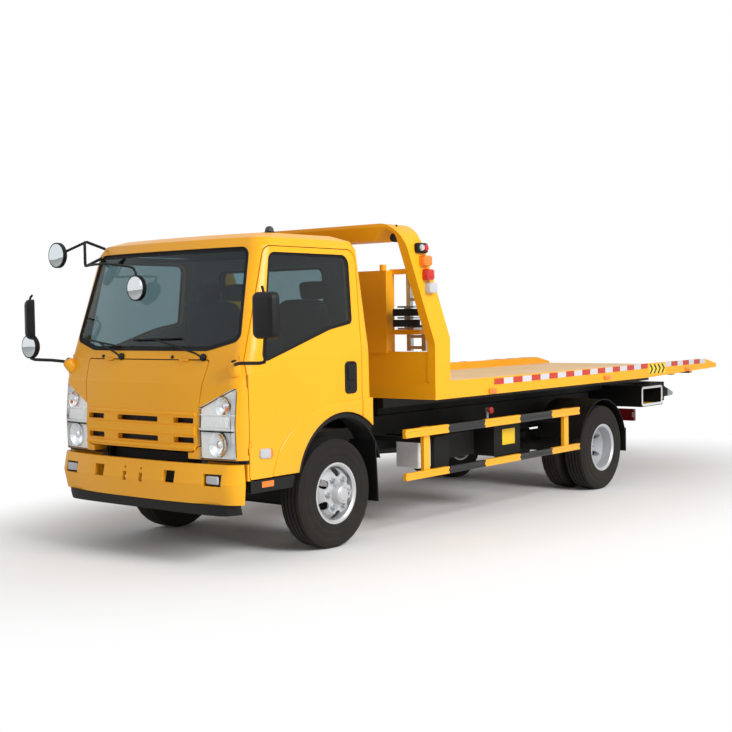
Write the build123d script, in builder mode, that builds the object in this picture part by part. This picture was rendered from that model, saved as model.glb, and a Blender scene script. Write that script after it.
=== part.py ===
import os
from math import cos, radians, sin
from build123d import *

# Flatbed recovery truck. Millimetres, X forward, Y to the left, Z up, wheels on Z = 0.
# Lengthwise positions in the tables are measured from the front axle and shifted by at().

# Driving dimensions
FRONT_OVERHANG = 1150
WHEELBASE = 3815
REAR_OVERHANG = 2583
OVERALL = FRONT_OVERHANG + WHEELBASE + REAR_OVERHANG
X_FA = OVERALL / 2 - FRONT_OVERHANG
X_RA = X_FA - WHEELBASE

TYRE_R = 405
TYRE_W = 214
RIM_R = 226
FRONT_TRACK_HALF = 824
TWIN_OUTER = 962
TWIN_SPACING = 266
TWIN_FACE = TWIN_OUTER - TWIN_SPACING / 2 - 13.05
KINGPIN_Y = 700
KINGPIN_R = 20
TIE_ROD_X = -190
TIE_ROD_Y = 655
TIE_ROD_Z = 246

CAB_HALF = 960
CAB_WALL = 55
DOOR_FRONT = 926
DOOR_REAR = -271
DOOR_TOP = 2196
DOOR_GAP = 6
ARCH_R = 520
ARCH_X = -60
ARCH_Z = 480
ROOF_SPLIT = 2197
BACK_SPLIT = DOOR_REAR - 7
FRONT_SPLIT = DOOR_FRONT + 2
FLOOR_SPLIT = 1062
CAB_PIVOT_X = 985
CAB_PIVOT_Z = 845

RAIL_OUT = 425
RAIL_FACE = RAIL_OUT + 0.05
RAIL_TOP = 800
RAIL_DEEP = 210
SUBRAIL_TOP = 876
TILT_PIVOT_X = -4700
TILT_PIVOT_Z = 830
TILT_BOTTOM = 886
TILT_TOP = 1034.94

BED_HALF = 1110
BED_FRONT = -1003
BED_TAIL = -WHEELBASE - REAR_OVERHANG
BED_RAIL_W = 66
BED_INNER = BED_HALF - BED_RAIL_W - 0.05
WINCH_PLATE_END = -1420
BED_BOTTOM = 1035
BED_RAIL_TOP = 1177
DECK_TOP = 1105

BOOM_PIVOT_X = -4880
BOOM_PIVOT_Z = 850

# Hinges: where the barrels sit along each hinge line
DOOR_HINGE_X = DOOR_FRONT + 3
DOOR_HINGE_Y = 958
DOOR_HINGES = (780, 1240)
PANEL_HINGE_X = 1016
PANEL_HINGE_Z = 1415
PANEL_HINGES = (-420, 380)
BARREL_R = 8
BARREL_L = 40

LEFT_RIGHT = (("left", 1), ("right", -1))

os.makedirs("parts", exist_ok=True)


def at(x):
    """Lengthwise position measured from the front axle."""
    return X_FA + x


def save(built, name):
    built.part.label = name
    export_step(built.part, f"parts/{name}.step")


def block(x0, x1, y0, y1, z0, z1, mode=Mode.ADD):
    """Upright block between two corners, x from the front axle."""
    with Locations((at((x0 + x1) / 2), (y0 + y1) / 2, (z0 + z1) / 2)):
        Box(abs(x1 - x0), abs(y1 - y0), abs(z1 - z0), mode=mode)


def rod(start, end, radius, mode=Mode.ADD):
    """Round bar between two points, x from the front axle."""
    a = Vector(at(start[0]), start[1], start[2])
    b = Vector(at(end[0]), end[1], end[2])
    with BuildSketch(Plane(origin=a, z_dir=b - a)) as section:
        Circle(radius)
    extrude(section.sketch, amount=(b - a).length, mode=mode)


def bent_tube(points, radius, bend):
    """Round tube along a bent path, x from the front axle."""
    shifted = [(at(x), y, z) for x, y, z in points]
    with BuildLine() as path:
        FilletPolyline(*shifted, radius=bend)
    with BuildSketch(Plane(origin=path.line @ 0, z_dir=path.line % 0)) as section:
        Circle(radius)
    sweep(section.sketch, path=path.line)


def side_prism(points, y0, y1, radii=0, mode=Mode.ADD):
    """Outline seen from the side, (x from the front axle, z), run across from y0 to y1."""
    shifted = [(at(x), z) for x, z in points]
    plane = Plane(origin=(0, y0, 0), x_dir=(1, 0, 0), z_dir=(0, -1, 0))
    with BuildSketch(plane) as section:
        with BuildLine():
            FilletPolyline(*shifted, radius=radii, close=True)
        make_face()
    extrude(section.sketch, amount=y1 - y0, dir=(0, 1, 0), mode=mode)


def front_prism(points, x0, x1, radii=0, mode=Mode.ADD):
    """Outline seen from the front, (y, z), run along from x0 to x1."""
    plane = Plane(origin=(at(x0), 0, 0), x_dir=(0, 1, 0), z_dir=(1, 0, 0))
    with BuildSketch(plane) as section:
        with BuildLine():
            FilletPolyline(*points, radius=radii, close=True)
        make_face()
    extrude(section.sketch, amount=x1 - x0, dir=(1, 0, 0), mode=mode)


def turned(points, x, y, z, mode=Mode.ADD):
    """Ring turned about an axle along Y. Points are (offset along y, radius)."""
    plane = Plane(origin=(at(x), y, z), x_dir=(0, 1, 0), z_dir=(1, 0, 0))
    with BuildSketch(plane) as section:
        with BuildLine():
            Polyline(*points, close=True)
        make_face()
    revolve(section.sketch, axis=Axis((at(x), y, z), (0, 1, 0)), mode=mode)


# Cab outline in plan at each height: z, nose, half width, back
CAB_SECTIONS = (
    (600, 1080, 958, -412),
    (980, 1090, 960, -410),
    (1250, 1066, 960, -404),
    (1415, 1014, 960, -400),
    (1475, 994, 957, -398),
    (2200, 782, 892, -345),
    (2262, 742, 862, -315),
    (2300, 620, 775, -200),
)


def cab_form(inset, corner=130):
    """The cab's outer form drawn in by inset, as a loft of plan outlines."""
    last = len(CAB_SECTIONS) - 1
    faces = []
    for i, (z, nose, half, back) in enumerate(CAB_SECTIONS):
        low = -inset if i == 0 else 0
        height = z - inset if i == last else z - low
        n = nose - inset
        h = half - inset
        b = back + inset
        flat = 0.44 * h
        outline = ((at(b), -h), (at(n - 70), -h), (at(n), -flat), (at(n), flat), (at(n - 70), h), (at(b), h))
        r = corner - inset
        with BuildSketch(Plane.XY.offset(height)) as section:
            with BuildLine():
                FilletPolyline(*outline, radius=(70, r, 3400, 3400, r, 70), close=True)
            make_face()
        faces.append(section.sketch)
    loft(faces, ruled=True)


def arch_prism(grow, y0, y1, mode):
    """Space for the front wheel under the cab, seen from the side."""
    r = ARCH_R - grow
    plane = Plane(origin=(0, y0, 0), x_dir=(1, 0, 0), z_dir=(0, -1, 0))
    with BuildSketch(plane) as section:
        with Locations((at(ARCH_X), ARCH_Z)):
            Circle(r)
        with Locations((at(ARCH_X - 300), ARCH_Z + r / 2 - 200)):
            Rectangle(600, r + 400)
        with Locations((at(ARCH_X + r / 2 - 300), ARCH_Z - 300)):
            Rectangle(r + 600, 600)
    extrude(section.sketch, amount=y1 - y0, dir=(0, 1, 0), mode=mode)


DOOR_OUTLINE = (
    (DOOR_FRONT, 606), (DOOR_FRONT, 1415), (668, DOOR_TOP), (DOOR_REAR - 14, DOOR_TOP), (DOOR_REAR, 1640),
    (DOOR_REAR, 606),
)
DOOR_RADII = (20, 60, 70, 90, 400, 0)
WINDOW_OUTLINE = ((800, 1392), (640, 2152), (-200, 2152), (-182, 1655), (72, 1612))
WINDOW_RADII = (40, 60, 70, 40, 500)
WINDSCREEN = ((-610, 1480), (610, 1480), (868, 1548), (790, 2192), (-790, 2192), (-868, 1548))
REAR_WINDOW = ((-560, 1660), (560, 1660), (560, 2080), (-560, 2080))
WINDSCREEN_RADII = (260, 260, 60, 70, 70, 60)
LAMP_OUTLINE = ((596, 742), (596, 1088), (884, 1226), (908, 1226), (908, 742))
LAMP_RADII = (12, 12, 12, 10, 12)
PANEL_OUTLINE = (
    (-540, 790), (540, 790), (590, 830), (590, 1040), (640, 1412), (-640, 1412), (-590, 1040), (-590, 830),
)
PANEL_RADII = (20, 20, 20, 40, 20, 20, 40, 20)
# Inner face of the doors seen from the front: half width at each height
DOOR_INNER = ((903, 500), (905, 980), (905, 1415), (902, 1475), (837, 2200), (820, 2400))


def grown(points, amount):
    """Outline moved outward from its middle by about the amount."""
    cx = sum(p[0] for p in points) / len(points)
    cz = sum(p[1] for p in points) / len(points)
    return [(x + amount * (1 if x > cx else -1), z + amount * (1 if z > cz else -1)) for x, z in points]


def barrel(point, along, length, radius, mode=Mode.ADD):
    """Hinge barrel from a point along an axis."""
    end = tuple(p + length * a for p, a in zip(point, along))
    rod(point, end, radius, mode)


def mirrored(points, side):
    return [(y * side, z) for y, z in points]


def inside_doors(draw_in, mode):
    """Everything between the doors' inner faces, drawn in by a gap."""
    right = [(y - draw_in, z) for y, z in DOOR_INNER]
    left = [(draw_in - y, z) for y, z in reversed(DOOR_INNER)]
    front_prism(right + left, -600, 1300, 0, mode)


# Cab body: one hollow form used again for doors, glass, lamps and front panel
with BuildPart() as cab_outer:
    cab_form(0)
    arch_prism(0, -1000, 1000, Mode.SUBTRACT)
    block(945, 1200, -1000, 1000, 590, 736, mode=Mode.SUBTRACT)
with BuildPart() as cab_inner:
    cab_form(CAB_WALL)
    arch_prism(-CAB_WALL, -1000, 1000, Mode.SUBTRACT)
    block(945 - CAB_WALL, 1200, -1000, 1000, 590, 736 + CAB_WALL, mode=Mode.SUBTRACT)
    block(-500, 1200, -560, 560, 590, 960, mode=Mode.SUBTRACT)
with BuildPart() as cab_skin:
    add(cab_outer.part)
    add(cab_inner.part, mode=Mode.SUBTRACT)

with BuildPart() as door_space:
    side_prism(grown(DOOR_OUTLINE, DOOR_GAP), -1000, 1000, DOOR_RADII)
    inside_doors(DOOR_GAP, Mode.SUBTRACT)

with BuildPart() as cab_shell:
    add(cab_skin.part)
    block(-500, 1200, -505, 505, 590, 905, mode=Mode.SUBTRACT)
    add(door_space.part, mode=Mode.SUBTRACT)
    front_prism(WINDSCREEN, 600, 1200, WINDSCREEN_RADII, Mode.SUBTRACT)
    front_prism(grown(PANEL_OUTLINE, DOOR_GAP + 2), 946, 1200, PANEL_RADII, Mode.SUBTRACT)
    block(928, 944, -895, 895, 906, 1440)
    front_prism(REAR_WINDOW, -500, -200, 60, Mode.SUBTRACT)
    for side in (1, -1):
        front_prism(mirrored(grown(LAMP_OUTLINE, 0.05), side), 946, 1200, LAMP_RADII, Mode.SUBTRACT)
        for z in DOOR_HINGES:
            top = (DOOR_HINGE_X, side * DOOR_HINGE_Y, z + BARREL_L)
            barrel((DOOR_HINGE_X, side * DOOR_HINGE_Y, z - 6), (0, 0, 1), BARREL_L + 6, BARREL_R + 6, Mode.SUBTRACT)
            barrel(top, (0, 0, 1), BARREL_L, BARREL_R)
        block(CAB_PIVOT_X - 40, CAB_PIVOT_X + 40, side * 440, side * 470, 815, 905)
        rod((CAB_PIVOT_X, side * 430, CAB_PIVOT_Z), (CAB_PIVOT_X, side * 480, CAB_PIVOT_Z), 14.06, Mode.SUBTRACT)
    for y in PANEL_HINGES:
        barrel((PANEL_HINGE_X, y - 6, PANEL_HINGE_Z), (0, 1, 0), BARREL_L + 6, BARREL_R + 6, Mode.SUBTRACT)
        barrel((PANEL_HINGE_X, y + BARREL_L, PANEL_HINGE_Z), (0, 1, 0), BARREL_L, BARREL_R)

with BuildPart() as cab_roof:
    add(cab_shell.part)
    block(-600, 1300, -1100, 1100, 500, ROOF_SPLIT, mode=Mode.SUBTRACT)
save(cab_roof, "cab_roof")

with BuildPart() as cab_back:
    add(cab_shell.part)
    block(BACK_SPLIT, 1300, -1100, 1100, 500, 2400, mode=Mode.SUBTRACT)
    block(-600, 1300, -1100, 1100, ROOF_SPLIT, 2400, mode=Mode.SUBTRACT)
save(cab_back, "cab_back")

with BuildPart() as cab_floor:
    add(cab_shell.part)
    block(-600, BACK_SPLIT, -1100, 1100, 500, 2400, mode=Mode.SUBTRACT)
    block(FRONT_SPLIT, 1300, -1100, 1100, 500, 2400, mode=Mode.SUBTRACT)
    block(-600, 1300, -1100, 1100, FLOOR_SPLIT, 2400, mode=Mode.SUBTRACT)
save(cab_floor, "cab_floor")

with BuildPart() as cab_front:
    add(cab_shell.part)
    block(-600, BACK_SPLIT, -1100, 1100, 500, 2400, mode=Mode.SUBTRACT)
    block(BACK_SPLIT, FRONT_SPLIT, -1100, 1100, 500, FLOOR_SPLIT, mode=Mode.SUBTRACT)
    block(-600, 1300, -1100, 1100, ROOF_SPLIT, 2400, mode=Mode.SUBTRACT)
save(cab_front, "cab_front")

with BuildPart() as glass_layer:
    cab_form(8)
with BuildPart() as glass_core:
    cab_form(18)

with BuildPart() as cab_glass:
    front_prism(WINDSCREEN, 600, 1200, WINDSCREEN_RADII)
    front_prism(REAR_WINDOW, -500, -200, 60)
    add(glass_layer.part, mode=Mode.INTERSECT)
    add(glass_core.part, mode=Mode.SUBTRACT)
save(cab_glass, "cab_glass")

with BuildPart() as lamp_core:
    cab_form(50, corner=150)

with BuildPart() as headlamps:
    for side in (1, -1):
        front_prism(mirrored(LAMP_OUTLINE, side), 952, 1200, LAMP_RADII)
    add(cab_outer.part, mode=Mode.INTERSECT)
    add(lamp_core.part, mode=Mode.SUBTRACT)
save(headlamps, "headlamps")

GRILLE_ROWS = ((982, 1020), (846, 886))
GRILLE_SLOTS = ((-216, 216), (-560, -372), (372, 560))

with BuildPart() as panel_core:
    cab_form(45)

with BuildPart() as front_panel:
    front_prism(PANEL_OUTLINE, 956, 1200, PANEL_RADII)
    add(cab_outer.part, mode=Mode.INTERSECT)
    add(panel_core.part, mode=Mode.SUBTRACT)
    for low, high in GRILLE_ROWS:
        for y0, y1 in GRILLE_SLOTS:
            block(900, 1200, y0, y1, low, high, mode=Mode.SUBTRACT)
    for y in PANEL_HINGES:
        barrel((PANEL_HINGE_X, y + BARREL_L, PANEL_HINGE_Z), (0, 1, 0), BARREL_L + 6, BARREL_R + 6, Mode.SUBTRACT)
        barrel((PANEL_HINGE_X, y, PANEL_HINGE_Z), (0, 1, 0), BARREL_L - 0.06, BARREL_R)
save(front_panel, "front_panel")

for name, side in LEFT_RIGHT:
    y0, y1 = (600, 1000) if side > 0 else (-1000, -600)
    with BuildPart() as door:
        side_prism(DOOR_OUTLINE, y0, y1, DOOR_RADII)
        add(cab_outer.part, mode=Mode.INTERSECT)
        inside_doors(0, Mode.SUBTRACT)
        side_prism(WINDOW_OUTLINE, y0, y1, WINDOW_RADII, Mode.SUBTRACT)
        block(-182, -98, side * 940, side * 980, 1130, 1372, mode=Mode.SUBTRACT)
        for z in DOOR_HINGES:
            top = (DOOR_HINGE_X, side * DOOR_HINGE_Y, z + BARREL_L)
            barrel(top, (0, 0, 1), BARREL_L + 6, BARREL_R + 6, Mode.SUBTRACT)
            barrel((DOOR_HINGE_X, side * DOOR_HINGE_Y, z), (0, 0, 1), BARREL_L - 0.06, BARREL_R)
    save(door, f"door_{name}")
    with BuildPart() as door_glass:
        side_prism(WINDOW_OUTLINE, y0, y1, WINDOW_RADII)
        add(glass_layer.part, mode=Mode.INTERSECT)
        add(glass_core.part, mode=Mode.SUBTRACT)
    save(door_glass, f"door_glass_{name}")

with BuildPart() as arch_liners:
    for side in (1, -1):
        y0, y1 = (700, 896) if side > 0 else (-896, -700)
        plane = Plane(origin=(0, y0, 0), x_dir=(1, 0, 0), z_dir=(0, -1, 0))
        with BuildSketch(plane) as ring:
            with Locations((at(ARCH_X), ARCH_Z)):
                Circle(ARCH_R)
                Circle(ARCH_R - 14, mode=Mode.SUBTRACT)
            with Locations((at(ARCH_X), ARCH_Z - 400)):
                Rectangle(1400, 1060, mode=Mode.SUBTRACT)
        extrude(ring.sketch, amount=y1 - y0, dir=(0, 1, 0))
save(arch_liners, "arch_liners")

with BuildPart() as dashboard:
    side_prism(((927.9, 1250), (927.9, 1390), (880, 1430), (640, 1400), (560, 1330), (600, 1180), (760, 1120)), -815, 815, (0, 0, 25, 25, 25, 25, 25))
    add(cab_shell.part, mode=Mode.SUBTRACT)
save(dashboard, "dashboard")

with BuildPart() as seats:
    for y0, y1 in ((280, 780), (-780, -120)):
        block(-160, 330, y0, y1, 1120, 1260)
        side_prism(((-150, 1180), (-30, 1180), (-190, 1900), (-280, 1880)), y0, y1, 30)
        block(-60, 230, y0 + 80, y1 - 80, 930, 1130)
    add(cab_inner.part, mode=Mode.INTERSECT)
save(seats, "seats")

with BuildPart() as steering_wheel:
    wheel_at = Plane(origin=(at(470), 520, 1400), x_dir=(0, 1, 0), z_dir=(-0.5, 0, 0.87))
    with BuildSketch(wheel_at) as hub:
        Circle(60)
        Rectangle(390, 36)
    extrude(hub.sketch, amount=12, both=True)
    with BuildSketch(Plane(origin=wheel_at.from_local_coords((205, 0, 0)), z_dir=wheel_at.y_dir)) as rim:
        Circle(15)
    revolve(rim.sketch, axis=Axis(wheel_at.origin, wheel_at.z_dir))
    rod((473, 520, 1395), (640, 520, 1110), 28)
    add(dashboard.part, mode=Mode.SUBTRACT)
save(steering_wheel, "steering_wheel")

MIRROR_X = 1072
MIRROR_Y = 1256
MIRROR_Z = 1715
with BuildPart() as mirrors:
    for side in (1, -1):
        rod((960, side * 870, 1330), (1010, side * 890, 1405), 45)
        bent_tube(
            ((985, side * 880, 1385), (1060, side * 1000, 1400), (MIRROR_X, side * MIRROR_Y, 1405),
             (MIRROR_X, side * MIRROR_Y, 1700)), 12, (60, 60))
        with Locations(Location((at(MIRROR_X), side * MIRROR_Y, MIRROR_Z), (0, 0, side * -22))):
            Box(70, 206, 306)
    with Locations(Location((at(MIRROR_X - 10), -MIRROR_Y, 1505), (0, 90, 25))):
        Cylinder(92, 50)
    bent_tube(((700, -790, 2250), (900, -780, 2300), (900, -780, 2110), (720, -800, 2180)), 11, (20, 20))
    rod((900, -780, 2290), (925, -1050, 2215), 10)
    with Locations(Location((at(935), -1060, 2205), (0, 90, 40))):
        Cylinder(98, 44)
    bent_tube(((900, -780, 2115), (960, -500, 2120), (930, -180, 2080), (915, -170, 1960)), 9, (60, 60))
    with Locations(Location((at(915), -170, 1930), (0, 90, 0))):
        Cylinder(94, 44)
    add(cab_outer.part, mode=Mode.SUBTRACT)
save(mirrors, "mirrors")

# Chassis: the rail ends and pivot brackets leave room for the tilted front panel
PIVOT_BRACKET = ((880, RAIL_TOP - 20), (955, RAIL_TOP - 20), (1000, 825), (1000, 880), (955, 880), (910, 850))
with BuildPart() as chassis_frame:
    for side in (1, -1):
        y_out = side * RAIL_OUT
        y_web = side * (RAIL_OUT - 10)
        y_in = side * (RAIL_OUT - 70)
        low = RAIL_TOP - RAIL_DEEP
        block(1000, TILT_PIVOT_X - 60, y_out, y_web, low, RAIL_TOP)
        block(1000, TILT_PIVOT_X - 60, y_out, y_in, low, low + 12)
        block(1000, TILT_PIVOT_X - 60, y_out, y_in, RAIL_TOP - 12, RAIL_TOP)
        block(-800, TILT_PIVOT_X, y_out, y_in, RAIL_TOP, SUBRAIL_TOP)
        block(-330, -390, side * 380, side * 425, RAIL_TOP, ARCH_Z + ARCH_R - 0.1)
        side_prism(((966, 801), (966, 773), (1001, 738), (1001, 801)), *sorted((y_out, y_in)), 0, Mode.SUBTRACT)
        side_prism(PIVOT_BRACKET, *sorted((side * 400, y_out)))
        rod((CAB_PIVOT_X, side * 400, CAB_PIVOT_Z), (CAB_PIVOT_X, side * 476, CAB_PIVOT_Z), 14)
        block(1000, 1090, side * 362, side * 382, 585, 640)
        rod((1062, side * 350, 612), (1062, side * 394, 612), 14, Mode.SUBTRACT)
    for x in (890, -1090, -1700, -2700, -3350, -4300, -4700):
        block(x, x + 60, -(RAIL_OUT - 10.05), RAIL_OUT - 10.05, 620, 760)
    rod((TILT_PIVOT_X, -RAIL_OUT + 70.05, TILT_PIVOT_Z), (TILT_PIVOT_X, RAIL_OUT - 70.05, TILT_PIVOT_Z), 30)
save(chassis_frame, "chassis_frame")

with BuildPart() as front_axle:
    block(-45, 45, -640, 640, 300, 400)
    for side in (1, -1):
        block(-45, 45, side * 560, side * 640, 300, 492)
        block(-45, 45, side * 560, side * 745, 468, 492)
        block(-45, 45, side * 560, side * 745, 300, 324)
        rod((0, side * KINGPIN_Y, 290), (0, side * KINGPIN_Y, 500), KINGPIN_R + 0.06, Mode.SUBTRACT)
save(front_axle, "front_axle")

with BuildPart() as leaf_springs:
    for x, half, z in ((0, 640, 400.05), (-WHEELBASE, 700, 473.05)):
        for side in (1, -1):
            for i in range(4):
                span = half * (1 - 0.2 * (3 - i))
                block(x - span, x + span, side * 355, side * 425, z + i * 22, z + 22 + i * 22)
            for end in (1, -1):
                block(x + end * (half - 40), x + end * half, side * 365, side * 415, z + 60, RAIL_TOP - RAIL_DEEP)
save(leaf_springs, "leaf_springs")

with BuildPart() as driveline:
    rod((-WHEELBASE, -TWIN_FACE, TYRE_R), (-WHEELBASE, TWIN_FACE, TYRE_R), 68)
    rod((-WHEELBASE - 170, 0, TYRE_R + 10), (-WHEELBASE + 150, 0, TYRE_R + 10), 180)
    rod((-WHEELBASE + 100, 0, TYRE_R + 20), (-1018, 0, 560), 45)
save(driveline, "driveline")

with BuildPart() as engine_block:
    block(-560, 330, -290, 290, 540, 880)
    block(-1010, -560, -170, 170, 480, 760)
    block(640, 760, -340, 340, 520, 880)
    for side in (1, -1):
        block(-160, -90, side * 280, side * (RAIL_OUT - 10.05), 640, 690)
    block(330, 640, -120, 120, 600, 720)
save(engine_block, "engine_block")

with BuildPart() as fuel_tank:
    side_prism(((-1300, 420), (-2300, 420), (-2300, 740), (-1300, 740)), -960, -500, 60)
    for x in (-1500, -2100):
        block(x - 30, x + 30, -RAIL_FACE, -510, 640, 690)
save(fuel_tank, "fuel_tank")

with BuildPart() as side_boxes:
    block(-2061, -2480, 500, 960, 480, 752)
    side_prism(((-1180, 470), (-1390, 470), (-1390, 720), (-1180, 720)), 640, 960, 30)
    block(-1500, -1990, 470, 800, 500, 700)
    block(-1700, -1760, RAIL_FACE, 480, 640, 690)
    for x in (-1280, -2260):
        block(x - 30, x + 30, RAIL_FACE, 645, 690, 715)
save(side_boxes, "side_boxes")

# Side guard rails: low, high
GUARD_ROWS = ((435, 492), (762, 830))
with BuildPart() as side_guards:
    for side in (1, -1):
        for low, high in GUARD_ROWS:
            block(-618, -3300, side * 1072, side * 1100, low, high)
        for x in (-930, -3105):
            block(x - 40, x + 40, side * 1040, side * 1071.95, 435, 830)
            block(x - 25, x + 25, side * RAIL_FACE, side * 1039.95, 700, 740)
save(side_guards, "side_guards")

# Bumper outline in plan at each height: z, nose
BUMPER_SECTIONS = ((440, 1118), (580, 1150), (712, 1122))


def bumper_form(inset):
    faces = []
    for z, nose in BUMPER_SECTIONS:
        n = nose - inset
        h = CAB_HALF - 4 - inset
        outline = ((at(700), -h), (at(n - 92), -h), (at(n), -420), (at(n), 420), (at(n - 92), h), (at(700), h))
        with BuildSketch(Plane.XY.offset(z)) as section:
            with BuildLine():
                FilletPolyline(*outline, radius=(10, 150 - inset, 2600, 2600, 150 - inset, 10), close=True)
            make_face()
        faces.append(section.sketch)
    loft(faces, ruled=True)


with BuildPart() as bumper_inner:
    bumper_form(30)
with BuildPart() as bumper:
    bumper_form(0)
    add(bumper_inner.part, mode=Mode.SUBTRACT)
    block(600, 968, -1000, 1000, 300, 800, mode=Mode.SUBTRACT)
    for side in (1, -1):
        block(900, 1200, side * 672, side * 824, 566, 648, mode=Mode.SUBTRACT)
        block(900, 1200, side * 318, side * 426, 572, 656, mode=Mode.SUBTRACT)
        block(900, 1200, side * 66, side * 104, 560, 622, mode=Mode.SUBTRACT)
        rod((900, side * 85, 652), (1200, side * 85, 652), 9, Mode.SUBTRACT)
        block(990, 1095, side * 440, side * 470, 560, 690)
        block(990, 1010, side * RAIL_FACE, side * 470, 600, 690)
save(bumper, "bumper")

with BuildPart() as fog_lamps:
    for side in (1, -1):
        block(1015, 1052, side * 672.05, side * 823.95, 566.05, 647.95)
save(fog_lamps, "fog_lamps")

with BuildPart() as air_dam:
    side_prism(((1075, 360), (1095, 438), (1060, 438), (1045, 360)), -800, 800, 5)
    for side in (1, -1):
        block(940, 1090, side * 795, side * 880, 360, 438)
        block(940, 1072, side * 396, side * 420, 400, RAIL_TOP - RAIL_DEEP - 0.05)
save(air_dam, "air_dam")

with BuildPart() as cab_steps:
    for side in (1, -1):
        side_prism(((500, 509), (915, 509), (915, 594), (470, 594)), min(side * 620, side * 948), max(side * 620, side * 948), 8)
        block(680, 760, side * RAIL_FACE, side * 640, 555, 590)
save(cab_steps, "cab_steps")

with BuildPart() as mudguards:
    for side in (1, -1):
        side_prism(((-470, 290), (-458, 290), (-430, 760), (-442, 760)), min(side * 700, side * 950), max(side * 700, side * 950))
        block(-470, -430, side * RAIL_FACE, side * 720, 700, 740)

    for side in (1, -1):
        y0, y1 = min(side * 590, side * 1075), max(side * 590, side * 1075)
        plane = Plane(origin=(0, y0, 0), x_dir=(1, 0, 0), z_dir=(0, -1, 0))
        with BuildSketch(plane) as ring:
            with Locations((at(-WHEELBASE), TYRE_R)):
                Circle(TYRE_R + 62)
                Circle(TYRE_R + 56, mode=Mode.SUBTRACT)
            with Locations((at(-WHEELBASE), 100)):
                Rectangle(1400, 850, mode=Mode.SUBTRACT)
        extrude(ring.sketch, amount=y1 - y0, dir=(0, 1, 0))
        block(-WHEELBASE - 466, -WHEELBASE - 446, side * 590, side * 1075, 330, 560)
        for x in (-330, 330):
            block(-WHEELBASE + x - 20, -WHEELBASE + x + 20, side * RAIL_FACE, side * 600, 730, 752)
save(mudguards, "mudguards")

with BuildPart() as tail_lamps:
    for side in (1, -1):
        block(-4560, -4600, side * RAIL_FACE, side * 1000, 640, 690)
        block(-4600, -4640, side * 640, side * 1000, 600, 720)
save(tail_lamps, "tail_lamps")

# Steering
for name, side in LEFT_RIGHT:
    with BuildPart() as knuckle:
        rod((0, side * KINGPIN_Y, 330), (0, side * KINGPIN_Y, 462), 42)
        rod((0, side * KINGPIN_Y, 264), (0, side * KINGPIN_Y, 510), KINGPIN_R)
        rod((0, side * KINGPIN_Y, TYRE_R), (0, side * (FRONT_TRACK_HALF + 97.95), TYRE_R), 40)
        rod((0, side * KINGPIN_Y, 264), (0, side * KINGPIN_Y, 293), 34)
        rod((0, side * KINGPIN_Y, 278), (TIE_ROD_X, side * TIE_ROD_Y, 278), 13)
        rod((TIE_ROD_X, side * TIE_ROD_Y, 265), (TIE_ROD_X, side * TIE_ROD_Y, 291), 24)
    save(knuckle, f"knuckle_{name}")

with BuildPart() as tie_rod:
    rod((TIE_ROD_X, -TIE_ROD_Y, TIE_ROD_Z), (TIE_ROD_X, TIE_ROD_Y, TIE_ROD_Z), 14)
    for side in (1, -1):
        rod((TIE_ROD_X, side * TIE_ROD_Y, TIE_ROD_Z - 16), (TIE_ROD_X, side * TIE_ROD_Y, TIE_ROD_Z + 18.94), 22)
save(tie_rod, "tie_rod")

# Wheels: tyre half profile as offset along the axle and radius
TYRE_HALF = TYRE_W / 2
BEAD_R = RIM_R - 11.95
TYRE_PROFILE = (
    (-88, BEAD_R), (-TYRE_HALF, 268), (-TYRE_HALF, 318), (-96, 372), (-78, TYRE_R - 4), (0, TYRE_R),
    (78, TYRE_R - 4), (96, 372), (TYRE_HALF, 318), (TYRE_HALF, 268), (88, BEAD_R),
)
RIM_PROFILE = (
    (-96, RIM_R), (-88, RIM_R - 12), (88, RIM_R - 12), (96, RIM_R), (102, RIM_R), (102, RIM_R - 14), (90, RIM_R - 28),
    (-90, RIM_R - 28), (-102, RIM_R - 14), (-102, RIM_R),
)


def hand_holes(x, y, z, ring, count=6, size=34):
    for i in range(count):
        a = radians(360 / count * (i + 0.5))
        rod((x + ring * cos(a), y - 200, z + ring * sin(a)), (x + ring * cos(a), y + 200, z + ring * sin(a)), size, Mode.SUBTRACT)


for name, side in LEFT_RIGHT:
    y = side * FRONT_TRACK_HALF
    with BuildPart() as tyre:
        turned(TYRE_PROFILE, 0, y, TYRE_R)
    save(tyre, f"front_tyre_{name}")
    with BuildPart() as rim:
        turned([(side * a, r) for a, r in ((50, 196), (112, 150), (118, 60), (106, 58), (100, 140), (38, 200))], 0, y, TYRE_R)
        turned([(side * a, r) for a, r in ((98, 0), (98, 78), (122, 78), (160, 62), (160, 0))], 0, y, TYRE_R)
        hand_holes(0, y, TYRE_R, 158)
        turned(RIM_PROFILE, 0, y, TYRE_R)
    save(rim, f"front_rim_{name}")
    with BuildPart() as twin_tyres:
        turned(TYRE_PROFILE, -WHEELBASE, side * TWIN_OUTER, TYRE_R)
        turned(TYRE_PROFILE, -WHEELBASE, side * (TWIN_OUTER - TWIN_SPACING), TYRE_R)
    save(twin_tyres, f"rear_tyres_{name}")
    with BuildPart() as twin_rims:
        mid = TWIN_OUTER - TWIN_SPACING / 2
        for centre, out in ((TWIN_OUTER, 1), (TWIN_OUTER - TWIN_SPACING, -1)):
            y = side * centre
            turned([(side * out * a, r) for a, r in ((-20, 204), (-122, 158), (-132, 60), (-120, 60), (-120, 72), (-110, 150), (-4, 198))],
                   -WHEELBASE, y, TYRE_R)
            turned(RIM_PROFILE, -WHEELBASE, y, TYRE_R)
        hand_holes(-WHEELBASE, side * mid, TYRE_R, 165, size=26)
        turned([(side * a, r) for a, r in ((-13, 0), (-13, 140), (13, 140), (13, 92), (90, 86), (100, 70), (100, 0))],
               -WHEELBASE, side * mid, TYRE_R)
    save(twin_rims, f"rear_rims_{name}")

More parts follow.
